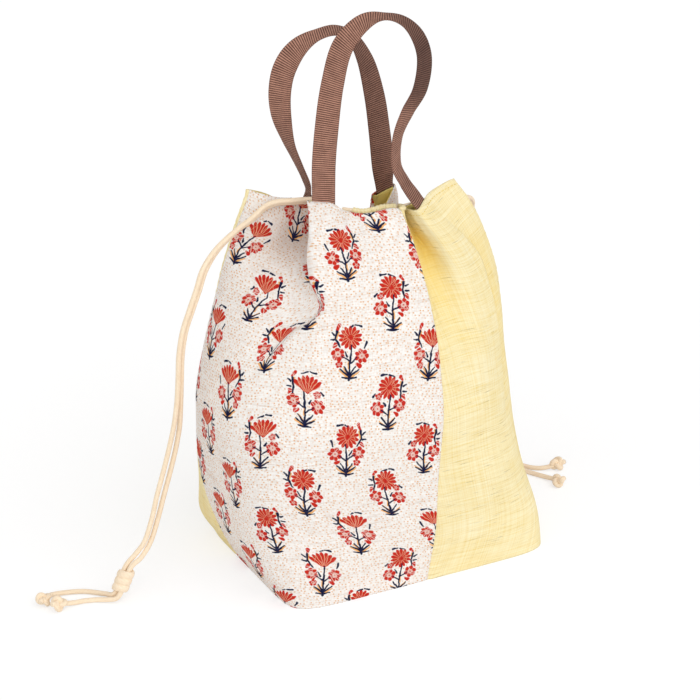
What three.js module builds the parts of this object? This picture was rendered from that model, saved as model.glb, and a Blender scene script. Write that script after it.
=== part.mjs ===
// Drawstring bag sewn from four panels round a flat base, lined, with two webbing handles
// and two drawstrings that run in casings at the mouth and end in knotted tassels.
// Millimetres, +Z up. The origin is the middle of the base on the floor, and the front faces -Y.
import * as THREE from 'three';

// Driving sizes of the bag
const bagHeight = 328;        // floor to the hem at the front seam
const baseWidth = 254;
const baseDepth = 170;
const bellyWidth = 272;       // fullest level of the bag
const bellyDepth = 188;
const collarStand = 26;       // how far the gathered collar stands above the shoulder
const clothThick = 1.0;
const liningThick = 0.6;
const liningSlack = 2.5;      // how much the lining hangs clear of the panels
const sewnGap = 0.4;          // clearance between neighbouring pieces
const baseThick = 1.2;

// Webbing handles
const strapWidth = 20;
const strapThick = 1.6;
const tailThick = 1.2;        // webbing pressed flat inside the hem
const hingeRise = 4.5;        // bend line of a handle above the hem
const liningDrop = 0.1;       // share of the top row that the lining stops short

// Drawstrings and their casings
const cordDiameter = 4.5;
const cordSides = 8;
const casingWall = 0.6;
const casingPlay = 0.35;      // clearance round the two cords in a casing
const casingDrop = 5;         // casing middle below the hem
const runBare = 9;            // bare cord past the open end of a casing
const runStub = 1;            // and past its other end
const wrapDiameter = 14;
const endKnotDiameter = 11;
const knotSides = 10;

// Mesh steps
const wideColumns = 22;       // across a print panel
const narrowColumns = 12;     // across a yellow panel
const columnRoom = 0.025;     // closest that an even column comes to a strap foot
const rowLevels = [0, 0.05, 0.13, 0.24, 0.37, 0.5, 0.62, 0.7, 0.77, 0.83, 0.88, 0.925, 0.965, 1];
const tailRow = 11;           // row where the sewn-in strap tails end
const mitreLimit = 0.6;       // keeps layers from running away at sharp folds
const straightEnough = 0.02;  // a point this close to its neighbours' line is left out

// Cross sections from floor to hem: level as a share of the height, overall width and depth,
// squareness of the corners, middle, and the bearings of the left and front seams in degrees.
// lag turns the right seam back and the back seam forward by the same angle. skew slides the
// front of a section to the right and its back to the left, as a share of the depth.
const sections = [
  { level: 0.00, width: baseWidth, depth: baseDepth, square: 9.0, x: -1, y: -6, left: 170, front: 271, lag: 0, skew: -0.085 },
  { level: 0.12, width: 272, depth: 178, square: 5.0, x: -9.5, y: -3, left: 170, front: 279, lag: 4, skew: -0.095 },
  { level: 0.335, width: bellyWidth, depth: bellyDepth, square: 3.2, x: -19, y: 2, left: 156, front: 290, lag: 12, skew: -0.02 },
  { level: 0.55, width: 272, depth: 184, square: 2.7, x: -20, y: 6, left: 154, front: 295, lag: 14, skew: -0.03 },
  { level: 0.76, width: 276, depth: 160, square: 2.5, x: -5, y: 12, left: 158, front: 290, lag: 10, skew: -0.09 },
  { level: 1.00, width: 216, depth: 132, square: 2.2, x: 0, y: 22, left: 158, front: 285, lag: 0, skew: -0.05 },
];

// The gathered hem seen from above: u counts the panels round from the left seam
// (0 to 1 front print, 1 to 2 front yellow, 2 to 3 back print, 3 to 4 back yellow),
// and lift is the height above or below bagHeight.
const hemPoints = [
  { u: 0.00, x: -90, y: 65, lift: 3 },      // tip of the left ear
  { u: 0.12, x: -69, y: 57, lift: -4 },
  { u: 0.25, x: -42, y: 52, lift: -9 },
  { u: 0.36, x: -18, y: 44, lift: -18 },    // bottom of the front pleat
  { u: 0.44, x: -34, y: 36, lift: -6 },
  { u: 0.50, x: -53, y: 28, lift: 1 },      // folded edge of the front pleat
  { u: 0.57, x: -44, y: 19, lift: 2 },
  { u: 0.65, x: -36, y: 12, lift: 2 },
  { u: 0.72, x: -30, y: 1, lift: -1 },
  { u: 0.80, x: -18, y: -9, lift: -2 },
  { u: 0.93, x: 6, y: -13, lift: 0 },
  { u: 1.00, x: 13, y: -17, lift: 0 },      // front seam
  { u: 1.25, x: 21, y: 3, lift: -8 },
  { u: 1.50, x: 25, y: -24, lift: -1 },
  { u: 1.75, x: 46, y: -7, lift: 5 },
  { u: 2.00, x: 73, y: 3, lift: 7 },       // tip of the right ear
  { u: 2.12, x: 61, y: 15, lift: -9 },
  { u: 2.25, x: 40, y: 25.5, lift: -19 },
  { u: 2.36, x: 8, y: 29, lift: -30 },      // bottom of the back pleat
  { u: 2.44, x: 26, y: 39.5, lift: -26 },
  { u: 2.52, x: 38, y: 44, lift: -7 },      // folded edge of the back pleat
  { u: 2.62, x: 21, y: 53, lift: -16 },
  { u: 2.75, x: -5, y: 58, lift: -32 },
  { u: 2.90, x: -30, y: 64, lift: -28 },
  { u: 3.00, x: -42, y: 69, lift: -25 },    // back seam
  { u: 3.25, x: -50, y: 58, lift: -24 },
  { u: 3.50, x: -57, y: 79, lift: -18 },
  { u: 3.75, x: -73, y: 77, lift: -7 },
];
const pleats = [[0.12, 0.60], [1.00, 1.75], [2.12, 2.62], [3.00, 3.75]];
const shoulderLevel = 0.45;   // share of the height where the gathering starts
const pleatFade = [0.60, 0.86];
const evenRows = 0.62;        // rows below this share rise evenly

// Smooth curve through knots, with the slope at each knot weighted by its neighbours
function slopeAt(knots, values, i) {
  const last = knots.length - 1;
  const back = i > 0 ? (values[i] - values[i - 1]) / (knots[i] - knots[i - 1]) : null;
  const ahead = i < last ? (values[i + 1] - values[i]) / (knots[i + 1] - knots[i]) : null;
  if (back === null) return ahead;
  if (ahead === null) return back;
  const stepBack = knots[i] - knots[i - 1];
  const stepAhead = knots[i + 1] - knots[i];
  return (back * stepAhead + ahead * stepBack) / (stepBack + stepAhead);
}

function smoothThrough(knots, values, at) {
  let i = 0;
  while (i < knots.length - 2 && at > knots[i + 1]) i += 1;
  const span = knots[i + 1] - knots[i];
  const t = (at - knots[i]) / span;
  const rise = 1 - t;
  return (1 + 2 * t) * rise * rise * values[i]
    + t * rise * rise * span * slopeAt(knots, values, i)
    + t * t * (3 - 2 * t) * values[i + 1]
    - t * t * rise * span * slopeAt(knots, values, i + 1);
}

function ease(t) {
  const clamped = Math.min(Math.max(t, 0), 1);
  return clamped * clamped * (3 - 2 * clamped);
}

const sectionLevels = sections.map((section) => section.level);
function sectionValue(key, level) {
  return smoothThrough(sectionLevels, sections.map((section) => section[key]), level);
}

// Hem points repeated past both ends, so that the curve closes smoothly
const hemLoop = [
  ...hemPoints.slice(-3).map((point) => ({ ...point, u: point.u - 4 })),
  ...hemPoints,
  ...hemPoints.slice(0, 3).map((point) => ({ ...point, u: point.u + 4 })),
];
const hemKnots = hemLoop.map((point) => point.u);
function hemPoint(u) {
  const turn = u - 4 * Math.floor(u / 4);
  const value = (key) => smoothThrough(hemKnots, hemLoop.map((point) => point[key]), turn);
  return new THREE.Vector3(value('x'), value('y'), bagHeight + value('lift'));
}

// A point of the round body, before the mouth is gathered
function bodyPoint(u, level) {
  const value = (key) => sectionValue(key, level);
  const left = value('left');
  const front = value('front');
  const lag = value('lag');
  const seams = [left, front, left + 180 + lag, front + 180 - lag, left + 360];
  const turn = u - 4 * Math.floor(u / 4);
  const panel = Math.min(Math.floor(turn), 3);
  const bearing = THREE.MathUtils.degToRad(seams[panel] + (seams[panel + 1] - seams[panel]) * (turn - panel));
  const square = value('square');
  const across = Math.abs(Math.cos(bearing) / (value('width') / 2)) ** square;
  const along = Math.abs(Math.sin(bearing) / (value('depth') / 2)) ** square;
  const reach = (across + along) ** (-1 / square);
  return new THREE.Vector3(
    value('x') + reach * (Math.cos(bearing) + value('skew') * Math.sin(bearing)),
    value('y') + reach * Math.sin(bearing),
    level * bagHeight - collarStand * level ** 3,
  );
}

// Height share for a row: even up to the shoulder, then bunched so that the collar is even too
function rowHeight(row) {
  if (row < evenRows) return row * shoulderLevel / evenRows;
  const collar = (row - evenRows) / (1 - evenRows);
  return shoulderLevel + (1 - shoulderLevel) * (1 - Math.sqrt(1 - collar));
}

// How far the hem departs from a straight line across a pleat
function pleatDepth(u) {
  const turn = u - 4 * Math.floor(u / 4);
  for (const [from, to] of pleats) {
    if (turn > from && turn < to) {
      const chord = hemPoint(from).lerp(hemPoint(to), (turn - from) / (to - from));
      return hemPoint(turn).sub(chord);
    }
  }
  return new THREE.Vector3();
}

// Outer face of the bag: the body blended into the hem, with the pleats carried down the collar
function bagPoint(u, row) {
  const level = rowHeight(row);
  const gather = ease((level - shoulderLevel) / (1 - shoulderLevel)) ** 1.1;
  const carried = Math.max(ease((level - pleatFade[0]) / (pleatFade[1] - pleatFade[0])) - gather, 0);
  const pleat = pleatDepth(u).multiply(new THREE.Vector3(carried, carried, 0.3 * carried));
  return bodyPoint(u, level).lerp(hemPoint(u), gather).add(pleat);
}

// Closed solid between two matching grids of points, outer seen from its front
function solidBetween(outer, inner, closedRound) {
  const rows = outer.length;
  const columns = outer[0].length;
  const positions = [];
  for (const grid of [outer, inner]) {
    for (const line of grid) {
      for (const point of line) positions.push(point.x, point.y, point.z);
    }
  }
  const at = (side, r, c) => side * rows * columns + r * columns + (c % columns);
  const triangles = [];
  const quad = (a, b, c, d) => triangles.push(a, b, c, a, c, d);
  const lastColumn = closedRound ? columns : columns - 1;
  for (let r = 0; r < rows - 1; r += 1) {
    for (let c = 0; c < lastColumn; c += 1) {
      quad(at(0, r, c), at(0, r, c + 1), at(0, r + 1, c + 1), at(0, r + 1, c));
      quad(at(1, r, c), at(1, r + 1, c), at(1, r + 1, c + 1), at(1, r, c + 1));
    }
  }
  for (let c = 0; c < lastColumn; c += 1) {
    quad(at(1, 0, c), at(1, 0, c + 1), at(0, 0, c + 1), at(0, 0, c));
    quad(at(0, rows - 1, c), at(0, rows - 1, c + 1), at(1, rows - 1, c + 1), at(1, rows - 1, c));
  }
  if (!closedRound) {
    const end = columns - 1;
    for (let r = 0; r < rows - 1; r += 1) {
      quad(at(1, r, 0), at(0, r, 0), at(0, r + 1, 0), at(1, r + 1, 0));
      quad(at(0, r, end), at(1, r, end), at(1, r + 1, end), at(0, r + 1, end));
    }
  }
  const geometry = new THREE.BufferGeometry();
  geometry.setAttribute('position', new THREE.Float32BufferAttribute(positions, 3));
  geometry.setIndex(triangles);
  geometry.computeVertexNormals();
  return geometry;
}

// Handles: where each foot is sewn along the hem, and the route of the loop between the feet.
// rise is the height above bagHeight, and across points along the width of the webbing.
const handles = [
  {
    name: 'front_handle', feet: [0.585, 1.60],
    route: [
      { x: -42, y: 17, rise: 34, across: [0.89, -0.46, 0] },
      { x: -40, y: 16, rise: 65, across: [0.85, -0.53, 0] },
      { x: -35, y: 14, rise: 108, across: [0.68, -0.73, 0.05] },
      { x: -27, y: 10, rise: 142, across: [0.50, -0.85, -0.15] },
      { x: -12, y: 4, rise: 161, across: [0.10, -0.97, -0.22] },
      { x: 3, y: -4, rise: 167, across: [-0.32, -0.94, 0.05] },
      { x: 17, y: -10, rise: 163, across: [-0.58, -0.81, 0] },
      { x: 28, y: -15, rise: 150, across: [-0.82, -0.56, 0.05] },
      { x: 33, y: -18, rise: 132, across: [-0.86, -0.43, 0.26] },
      { x: 30, y: -17, rise: 104, across: [-0.80, -0.40, 0.45] },
      { x: 21, y: -13, rise: 84, across: [-0.72, -0.48, 0.50] },
      { x: 14, y: -9, rise: 61, across: [-0.68, -0.60, 0.42] },
      { x: 13.5, y: -8.5, rise: 36, across: [-0.70, -0.58, 0.40] },
      { x: 20, y: -11, rise: 20, across: [-0.76, -0.52, 0.35] },
    ],
  },
  {
    name: 'back_handle', feet: [2.90, 2.57],
    route: [
      { x: -34.5, y: 66, rise: 0, across: [0.40, -0.91, 0.1] },
      { x: -43, y: 68.5, rise: 18, across: [0.03, -0.99, 0.1] },
      { x: -50.5, y: 71.5, rise: 38, across: [0.18, -0.97, 0.15] },
      { x: -56, y: 73, rise: 62, across: [0.60, -0.79, 0.12] },
      { x: -57, y: 73, rise: 84, across: [0.76, -0.65, 0.08] },
      { x: -53, y: 72, rise: 104, across: [0.80, -0.60, 0] },
      { x: -43, y: 69, rise: 121, across: [0.55, -0.83, 0.05] },
      { x: -28, y: 63, rise: 133, across: [0.15, -0.98, 0.05] },
      { x: -12, y: 58, rise: 137, across: [-0.28, -0.95, -0.1] },
      { x: 0, y: 54, rise: 131, across: [-0.66, -0.75, 0] },
      { x: 11, y: 50, rise: 111, across: [-0.88, -0.38, 0.25] },
      { x: 19, y: 47, rise: 78, across: [-0.96, -0.12, 0.25] },
      { x: 24, y: 46.5, rise: 43, across: [-0.96, 0.02, 0.2] },
      { x: 27.5, y: 47, rise: 14, across: [-0.95, 0.16, -0.05] },
    ],
  },
];
function evenSteps(from, to, count) {
  return Array.from({ length: count + 1 }, (_, i) => from + (to - from) * i / count);
}

// Materials, one for each finish
const finishes = {
  print: { color: 0xefe6da, roughness: 0.9 },
  yellow: { color: 0xf7e49a, roughness: 0.88 },
  lining: { color: 0xb4a050, roughness: 0.9 },
  webbing: { color: 0x8a5f50, roughness: 0.8 },
  cord: { color: 0xf3dcb8, roughness: 0.75 },
};
const bag = new THREE.Group();
function addPiece(name, geometry, finish) {
  const material = new THREE.MeshStandardMaterial({ ...finishes[finish], metalness: 0 });
  const mesh = new THREE.Mesh(geometry, material);
  mesh.name = name;
  bag.add(mesh);
}

// Hem position a given distance along from a starting place
function hemStep(u, distance) {
  const step = Math.sign(distance) * 0.001;
  let walked = 0;
  let place = u;
  while (walked < Math.abs(distance)) {
    walked += hemPoint(place + step).distanceTo(hemPoint(place));
    place += step;
  }
  return place;
}

// Columns round the bag: even steps in each panel, and one at each edge of every strap foot
const footEdges = handles.flatMap((handle) => handle.feet)
  .flatMap((u) => [hemStep(u, -strapWidth / 2), u, hemStep(u, strapWidth / 2)]);
const footColumn = (u, side) => ringColumns.indexOf(footEdges[footEdges.indexOf(u) + side]);
const evenColumns = [0, 1, 2, 3]
  .flatMap((i) => evenSteps(i, i + 1, i % 2 === 0 ? wideColumns : narrowColumns).slice(0, -1));
const ringColumns = evenColumns
  .filter((u) => Number.isInteger(u) || footEdges.every((edge) => Math.abs(u - edge) > columnRoom))
  .concat(footEdges)
  .sort((one, other) => one - other);
const ringSize = ringColumns.length;
const ring = rowLevels.map((row) => ringColumns.map((u) => bagPoint(u, row)));

// Outward direction at a grid point, lengthened where the faces round it meet at an angle
function outwardAt(r, c) {
  const point = (row, column) => ring[row][(column + ringSize) % ringSize];
  const faces = [];
  for (const up of [-1, 0]) {
    if (r + up < 0 || r + up > ring.length - 2) continue;
    for (const on of [-1, 0]) {
      const rise = point(r + up + 1, c + on + 1).clone().sub(point(r + up, c + on));
      const fall = point(r + up, c + on + 1).clone().sub(point(r + up + 1, c + on));
      faces.push(fall.cross(rise).normalize());
    }
  }
  const mean = faces.reduce((sum, face) => sum.add(face), new THREE.Vector3()).normalize();
  const tightest = Math.min(...faces.map((face) => face.dot(mean)));
  return mean.divideScalar(Math.max(tightest, mitreLimit));
}
const outward = ring.map((line, r) => line.map((_, c) => outwardAt(r, c)));

// The grid of a layer below the outer face of the bag, its foot kept level.
// slack adds depth away from the hem.
function layerGrid(depth, slack = 0) {
  return ring.map((line, r) => {
    const inset = depth + slack * (1 - rowLevels[r] ** 6);
    return line.map((point, c) => {
      const moved = point.clone().addScaledVector(outward[r][c], -inset);
      if (r === 0) moved.z = point.z;
      return moved;
    });
  });
}

// Part of a layer between two columns, with both side edges drawn in by a trim
function cutOut(grid, from, to, lowRow, trim) {
  return grid.slice(lowRow).map((line) => {
    const points = [];
    for (let c = from; c <= to; c += 1) points.push(line[c % ringSize].clone());
    const last = points.length - 1;
    const drawIn = (edge, next) => edge.clone().add(next.clone().sub(edge).setLength(trim));
    const left = drawIn(points[0], points[1]);
    const right = drawIn(points[last], points[last - 1]);
    points[0] = left;
    points[last] = right;
    return points;
  });
}

// Four panels round the bag, a seam gap apart
const clothOuter = ring;
const clothInner = layerGrid(clothThick);
const panelNames = ['print_panel_front', 'yellow_panel_front', 'print_panel_back', 'yellow_panel_back'];
panelNames.forEach((name, i) => {
  const from = ringColumns.indexOf(i);
  const to = i < 3 ? ringColumns.indexOf(i + 1) : ringSize;
  const outer = cutOut(clothOuter, from, to, 0, sewnGap / 2);
  const inner = cutOut(clothInner, from, to, 0, sewnGap / 2);
  addPiece(name, solidBetween(outer, inner, false), name.startsWith('print') ? 'print' : 'yellow');
});

// Flat plates inside the foot of the panels, with points only where the outline bends
const plateInset = clothThick + sewnGap;
function floorPlate(low, thick, inset) {
  const edge = layerGrid(inset)[0].map((point) => new THREE.Vector2(point.x, point.y));
  const outline = edge.filter((point, i) => {
    const before = edge[(i + ringSize - 1) % ringSize];
    const chord = edge[(i + 1) % ringSize].clone().sub(before);
    return Math.abs(chord.cross(point.clone().sub(before))) / chord.length() > straightEnough;
  });
  const plate = new THREE.ExtrudeGeometry(new THREE.Shape(outline), { depth: thick, bevelEnabled: false });
  plate.translate(0, 0, low);
  return plate;
}
const liningFloor = baseThick + sewnGap;
addPiece('base_panel', floorPlate(0, baseThick, plateInset), 'yellow');
addPiece('lining_base', floorPlate(liningFloor, liningThick, plateInset + sewnGap), 'lining');

// Lining wall from just above its base to just under the hem
const tailDepth = clothThick + sewnGap;
const liningDepth = tailDepth + tailThick + sewnGap;
const liningFoot = liningFloor + liningThick + 2 * sewnGap;
function liningGrid(depth) {
  const grid = layerGrid(depth, liningSlack);
  const top = grid.length - 1;
  grid[0].forEach((point, c) => {
    const next = grid[1][c];
    point.lerp(next, (liningFoot - point.z) / (next.z - point.z));
  });
  grid[top].forEach((point, c) => point.lerp(grid[top - 1][c], liningDrop));
  return grid;
}
const liningWall = solidBetween(liningGrid(liningDepth), liningGrid(liningDepth + liningThick), true);
addPiece('lining_wall', liningWall, 'lining');

const strapSteps = 44;

// Foot of a handle: the columns of its tail, and where the loop bends just above the hem
const tailOuter = layerGrid(tailDepth);
const tailInner = layerGrid(tailDepth + tailThick);
const hemRow = rowLevels.length - 1;
function strapFoot(u) {
  const [from, column, to] = [-1, 0, 1].map((side) => footColumn(u, side));
  const edges = [from, column, to].map((c) => ring[hemRow][c]);
  const middle = tailOuter[hemRow][column].clone().lerp(tailInner[hemRow][column], 0.5);
  middle.z = Math.max(...edges.map((point) => point.z)) + hingeRise;
  return { from, to, middle };
}

// Webbing bent along its route, each step squared up to the route's direction.
// Both ends lie along the line between the feet, which is where the handle folds down.
function strapLoop(handle) {
  const feet = handle.feet.map(strapFoot);
  const bendLine = feet[1].middle.clone().sub(feet[0].middle).normalize();
  const places = [feet[0].middle];
  const widths = [bendLine];
  for (const stop of handle.route) {
    places.push(new THREE.Vector3(stop.x, stop.y, bagHeight + stop.rise));
    widths.push(new THREE.Vector3(...stop.across));
  }
  places.push(feet[1].middle);
  widths.push(bendLine.clone().negate());
  const path = new THREE.CatmullRomCurve3(places);
  const turn = new THREE.CatmullRomCurve3(widths);
  const front = [];
  const rear = [];
  for (let i = 0; i <= strapSteps; i += 1) {
    const t = i / strapSteps;
    const middle = path.getPoint(t);
    const ahead = path.getTangent(t);
    const across = turn.getPoint(t);
    across.addScaledVector(ahead, -across.dot(ahead)).normalize();
    const face = new THREE.Vector3().crossVectors(ahead, across).normalize();
    const edge = (side, depth) => middle.clone()
      .addScaledVector(across, side * strapWidth / 2)
      .addScaledVector(face, depth * strapThick / 2);
    front.push([edge(1, 1), edge(-1, 1)]);
    rear.push([edge(1, -1), edge(-1, -1)]);
  }
  return solidBetween(front, rear, false);
}

for (const handle of handles) {
  addPiece(`${handle.name}_loop`, strapLoop(handle), 'webbing');
  handle.feet.forEach((u, i) => {
    const { from, to } = strapFoot(u);
    const outer = cutOut(tailOuter, from, to, tailRow, 0);
    const inner = cutOut(tailInner, from, to, tailRow, 0);
    const piece = solidBetween(outer, inner, false);
    addPiece(`${handle.name}_tail_${i === 0 ? 'left' : 'right'}`, piece, 'webbing');
  });
}

// Casings: each holds two cords, one above the other, just inside the hem
const casings = [
  { side: 'front', from: 0.745, to: 0.96 },
  { side: 'back', from: 2.70, to: 2.93 },
];
const casingInset = liningDepth + liningThick + sewnGap + casingWall + casingPlay + cordDiameter / 2;
const casingSteps = 8;
const cordSpacing = cordDiameter + 2 * sewnGap;

// Line just inside the hem, between two places, with a spare length past each end
function casingLine(casing, spareFirst, spareLast) {
  const inside = (u) => {
    const hem = hemPoint(u);
    const along = hemPoint(u + 0.02).sub(hemPoint(u - 0.02)).setZ(0).normalize();
    const inward = new THREE.Vector3(-along.y, along.x, 0);
    return hem.addScaledVector(inward, casingInset).setZ(hem.z - casingDrop);
  };
  const stops = evenSteps(casing.from, casing.to, 4).map(inside);
  const first = stops[0].clone().sub(stops[1]).normalize();
  const end = stops[4].clone().sub(stops[3]).normalize();
  if (spareFirst > 0) stops.unshift(stops[0].clone().addScaledVector(first, spareFirst));
  if (spareLast > 0) stops.push(stops[stops.length - 1].clone().addScaledVector(end, spareLast));
  return new THREE.CatmullRomCurve3(stops);
}

// Rings of a flattened tube along a line: two half circles, one above and one below
function casingRings(line, radius) {
  const up = new THREE.Vector3(0, 0, 1);
  const lift = cordSpacing / 2;
  return evenSteps(0, 1, casingSteps).map((t) => {
    const middle = line.getPointAt(t);
    const ahead = line.getTangentAt(t);
    const aside = new THREE.Vector3().crossVectors(up, ahead).normalize();
    const over = new THREE.Vector3().crossVectors(ahead, aside);
    return evenSteps(0, 10, 10).slice(0, -1).map((step) => {
      const angle = Math.PI * (step < 5 ? step / 4 : (step - 1) / 4);
      const shift = step < 5 ? lift : -lift;
      return middle.clone()
        .addScaledVector(aside, radius * Math.cos(angle))
        .addScaledVector(over, shift + radius * Math.sin(angle));
    });
  });
}

// Round cord along a smooth line
const cordSection = new THREE.Shape();
cordSection.absarc(0, 0, cordDiameter / 2, 0, 2 * Math.PI);
function cordTube(line, steps) {
  return new THREE.ExtrudeGeometry(cordSection, {
    steps, extrudePath: line, bevelEnabled: false, curveSegments: cordSides / 2,
  });
}

for (const casing of casings) {
  const line = casingLine(casing, 0, 0);
  const bore = cordDiameter / 2 + casingPlay;
  const tube = solidBetween(casingRings(line, bore + casingWall), casingRings(line, bore), true);
  addPiece(`casing_${casing.side}`, tube, 'yellow');
  const run = casingLine(casing, runBare, runStub);
  [['left', -1], ['right', 1]].forEach(([owner, side]) => {
    const level = run.points.map((point) => point.clone().setZ(point.z + side * cordSpacing / 2));
    addPiece(`${owner}_cord_run_${casing.side}`, cordTube(new THREE.CatmullRomCurve3(level), 12), 'cord');
  });
}

// Routes of the free cords from inside the mouth to the floor, given as listed points.
// Each side has two strands into a wrapped knot and two tails out of it, each with an end knot.
const strandSteps = 17;
const tailSteps = 4;
const cordSets = [
  {
    side: 'left',
    strands: {
      a: [[-22, 43.8, 316.6], [-34, 45.2, 317], [-48, 46.8, 317.5], [-60, 48.5, 318.2],
        [-70, 50.5, 319], [-80, 51.5, 317.8], [-96, 47, 311.5], [-109, 43, 307.5], [-131.5, 35, 296.5],
        [-145.5, 29.2, 282.9], [-153.5, 26.2, 265.9], [-161.5, 23.2, 250], [-168.5, 21.2, 234], [-173.5, 19.2, 213],
        [-175.5, 18.2, 191], [-177, 18, 168], [-179.5, 16.5, 146], [-184.5, 14, 127], [-191, 12, 107],
        [-199, 9, 86], [-206.5, 6, 66], [-216, 2, 46], [-226.5, -2.5, 36], [-236.9, -4.3, 29.9]],
      b: [[-22, 43.8, 321.6], [-34, 45.2, 322], [-48, 46.8, 322.5], [-60, 48, 323.1],
        [-70, 48.3, 323.6], [-82, 47, 321.3], [-98.5, 42.5, 314.4], [-111.5, 38.5, 310.4], [-135, 30.8, 299.4],
        [-149.5, 26.3, 285.2], [-157.5, 23.3, 268.2], [-165.5, 20.3, 252], [-172.5, 18.3, 236], [-177.5, 16.3, 215],
        [-179.5, 15.3, 193], [-181.5, 15.3, 170], [-185.5, 14, 149], [-191, 13, 129], [-198, 11, 108],
        [-206, 8, 87], [-213, 5, 66], [-222, 2, 47], [-231, 1.5, 37.4], [-239.8, 0.1, 30]],
    },
    wrap: { top: [-239, -2.5, 28.8], foot: [-250.5, -6.5, 8.2] },
    tails: {
      a: [[-253.4, -3.6, 6.4], [-259, 3.8, 3.6], [-266, 11.2, 2.5], [-275, 17.2, 2.5], [-286, 21, 2.5], [-297, 22.6, 3], [-304.6, 20.6, 4.4]],
      b: [[-252.4, -9.6, 6], [-259.5, -5.4, 3.4], [-268, -0.4, 2.5], [-279, 2.8, 2.5], [-287, 3.2, 2.8], [-294.2, 2.7, 4.4]],
    },
    knots: {
      a: { top: [-305.6, 20, 5.6], foot: [-316, 10.6, 5.6] },
      b: { top: [-295, 2.6, 5.6], foot: [-308, 1.8, 5.6] },
    },
  },
  {
    side: 'right',
    strands: {
      a: [[39, 35.5, 297], [47, 36.5, 299.5], [56, 37, 302.5],
        [68, 36, 306.5], [80, 33.5, 308.5], [90, 31, 308], [98, 31, 302], [105, 36, 292],
        [111, 45, 278], [116, 55, 258], [119, 63, 235], [121, 68, 208], [122, 70, 180],
        [122.5, 71, 150], [123, 71.5, 120], [124, 72, 92], [124.8, 71.5, 66], [126, 71, 43],
        [128.8, 69.8, 24.5], [133.3, 67.3, 14.5], [139.8, 63.4, 10.7]],
      b: [[39, 35.5, 302], [47, 36.5, 304.5], [56, 37, 307.5],
        [68, 36.5, 311.5], [81, 35, 313], [92.5, 34.5, 311.5], [101.5, 35.5, 304.5], [108.5, 40.5, 294],
        [114.5, 49.5, 279], [119.5, 59, 259], [122.5, 67, 236], [124.5, 72, 208], [125.5, 74, 180],
        [126, 75, 150], [126.5, 75.5, 120], [127.5, 76, 92], [128.3, 76, 66], [129.5, 75.5, 44],
        [132.3, 74.2, 26], [136.4, 71.8, 15], [142.6, 67.6, 10.7]],
    },
    wrap: { top: [142, 65, 10.5], foot: [164.5, 50.5, 7.4] },
    tails: {
      a: [[167.2, 52.2, 6.9], [172, 47, 4], [180, 38, 2.5], [189, 31.5, 2.5], [198, 28, 4]],
      b: [[164.6, 47.4, 6.9], [168.5, 41.5, 4], [175, 31, 2.5], [183.5, 18.5, 2.5], [189.8, 6.8, 4]],
    },
    knots: {
      a: { top: [198.5, 27.8, 5.6], foot: [211, 26, 5.6] },
      b: { top: [190, 6.3, 5.6], foot: [192.6, -6, 5.6] },
    },
  },
];

// Turned solid set with its axis from one point to another
function turnedBetween(profile, { top, foot }) {
  const from = new THREE.Vector3(...top);
  const along = new THREE.Vector3(...foot).sub(from);
  const length = along.length();
  const outline = profile.map(([radius, share]) => new THREE.Vector2(radius, share * length));
  const solid = new THREE.LatheGeometry(outline, knotSides);
  const turn = new THREE.Quaternion().setFromUnitVectors(new THREE.Vector3(0, 1, 0), along.normalize());
  solid.applyQuaternion(turn);
  solid.translate(from.x, from.y, from.z);
  return solid;
}

// Three turns of cord round the strands, and a rounded overhand knot
const wrapRadius = wrapDiameter / 2;
const wrapDip = wrapRadius - cordDiameter / 5;
const wrapProfile = [
  [0, 0], [wrapDip - 1, 0], [wrapRadius, 0.1], [wrapRadius, 0.25], [wrapDip, 1 / 3], [wrapRadius, 0.42],
  [wrapRadius, 0.58], [wrapDip, 2 / 3], [wrapRadius, 0.75], [wrapRadius, 0.9], [wrapDip - 1, 1], [0, 1],
];
const knotRadius = endKnotDiameter / 2;
const knotProfile = [
  [0, 0], [0.5 * knotRadius, 0], [0.9 * knotRadius, 0.2], [knotRadius, 0.45],
  [0.9 * knotRadius, 0.75], [0.55 * knotRadius, 0.95], [0, 1],
];

const smoothLine = (points) => new THREE.CatmullRomCurve3(points.map((point) => new THREE.Vector3(...point)));
for (const set of cordSets) {
  addPiece(`${set.side}_wrap_knot`, turnedBetween(wrapProfile, set.wrap), 'cord');
  for (const end of ['a', 'b']) {
    addPiece(`${set.side}_strand_${end}`, cordTube(smoothLine(set.strands[end]), strandSteps), 'cord');
    addPiece(`${set.side}_tail_${end}`, cordTube(smoothLine(set.tails[end]), tailSteps), 'cord');
    addPiece(`${set.side}_end_knot_${end}`, turnedBetween(knotProfile, set.knots[end]), 'cord');
  }
}

export default bag;
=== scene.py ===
import math
import bpy
import numpy as np
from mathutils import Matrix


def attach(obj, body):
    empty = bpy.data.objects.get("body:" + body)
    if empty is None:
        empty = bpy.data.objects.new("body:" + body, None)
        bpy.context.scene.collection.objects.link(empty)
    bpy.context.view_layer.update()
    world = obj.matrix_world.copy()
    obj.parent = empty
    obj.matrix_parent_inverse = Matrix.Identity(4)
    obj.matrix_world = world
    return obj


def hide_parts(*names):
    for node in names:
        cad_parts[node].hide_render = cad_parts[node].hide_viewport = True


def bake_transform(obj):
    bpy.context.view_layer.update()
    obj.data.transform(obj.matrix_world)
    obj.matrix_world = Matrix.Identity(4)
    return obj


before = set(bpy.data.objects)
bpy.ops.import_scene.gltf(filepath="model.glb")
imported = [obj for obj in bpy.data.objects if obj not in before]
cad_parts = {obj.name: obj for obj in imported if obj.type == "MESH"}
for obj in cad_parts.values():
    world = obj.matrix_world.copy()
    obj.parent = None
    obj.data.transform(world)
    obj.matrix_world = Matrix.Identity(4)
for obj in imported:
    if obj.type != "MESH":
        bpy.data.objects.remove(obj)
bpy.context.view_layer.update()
mm = 0.001
fullTurn = 2 * math.pi
print("frame loaded:", len(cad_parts), "nodes")


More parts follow.
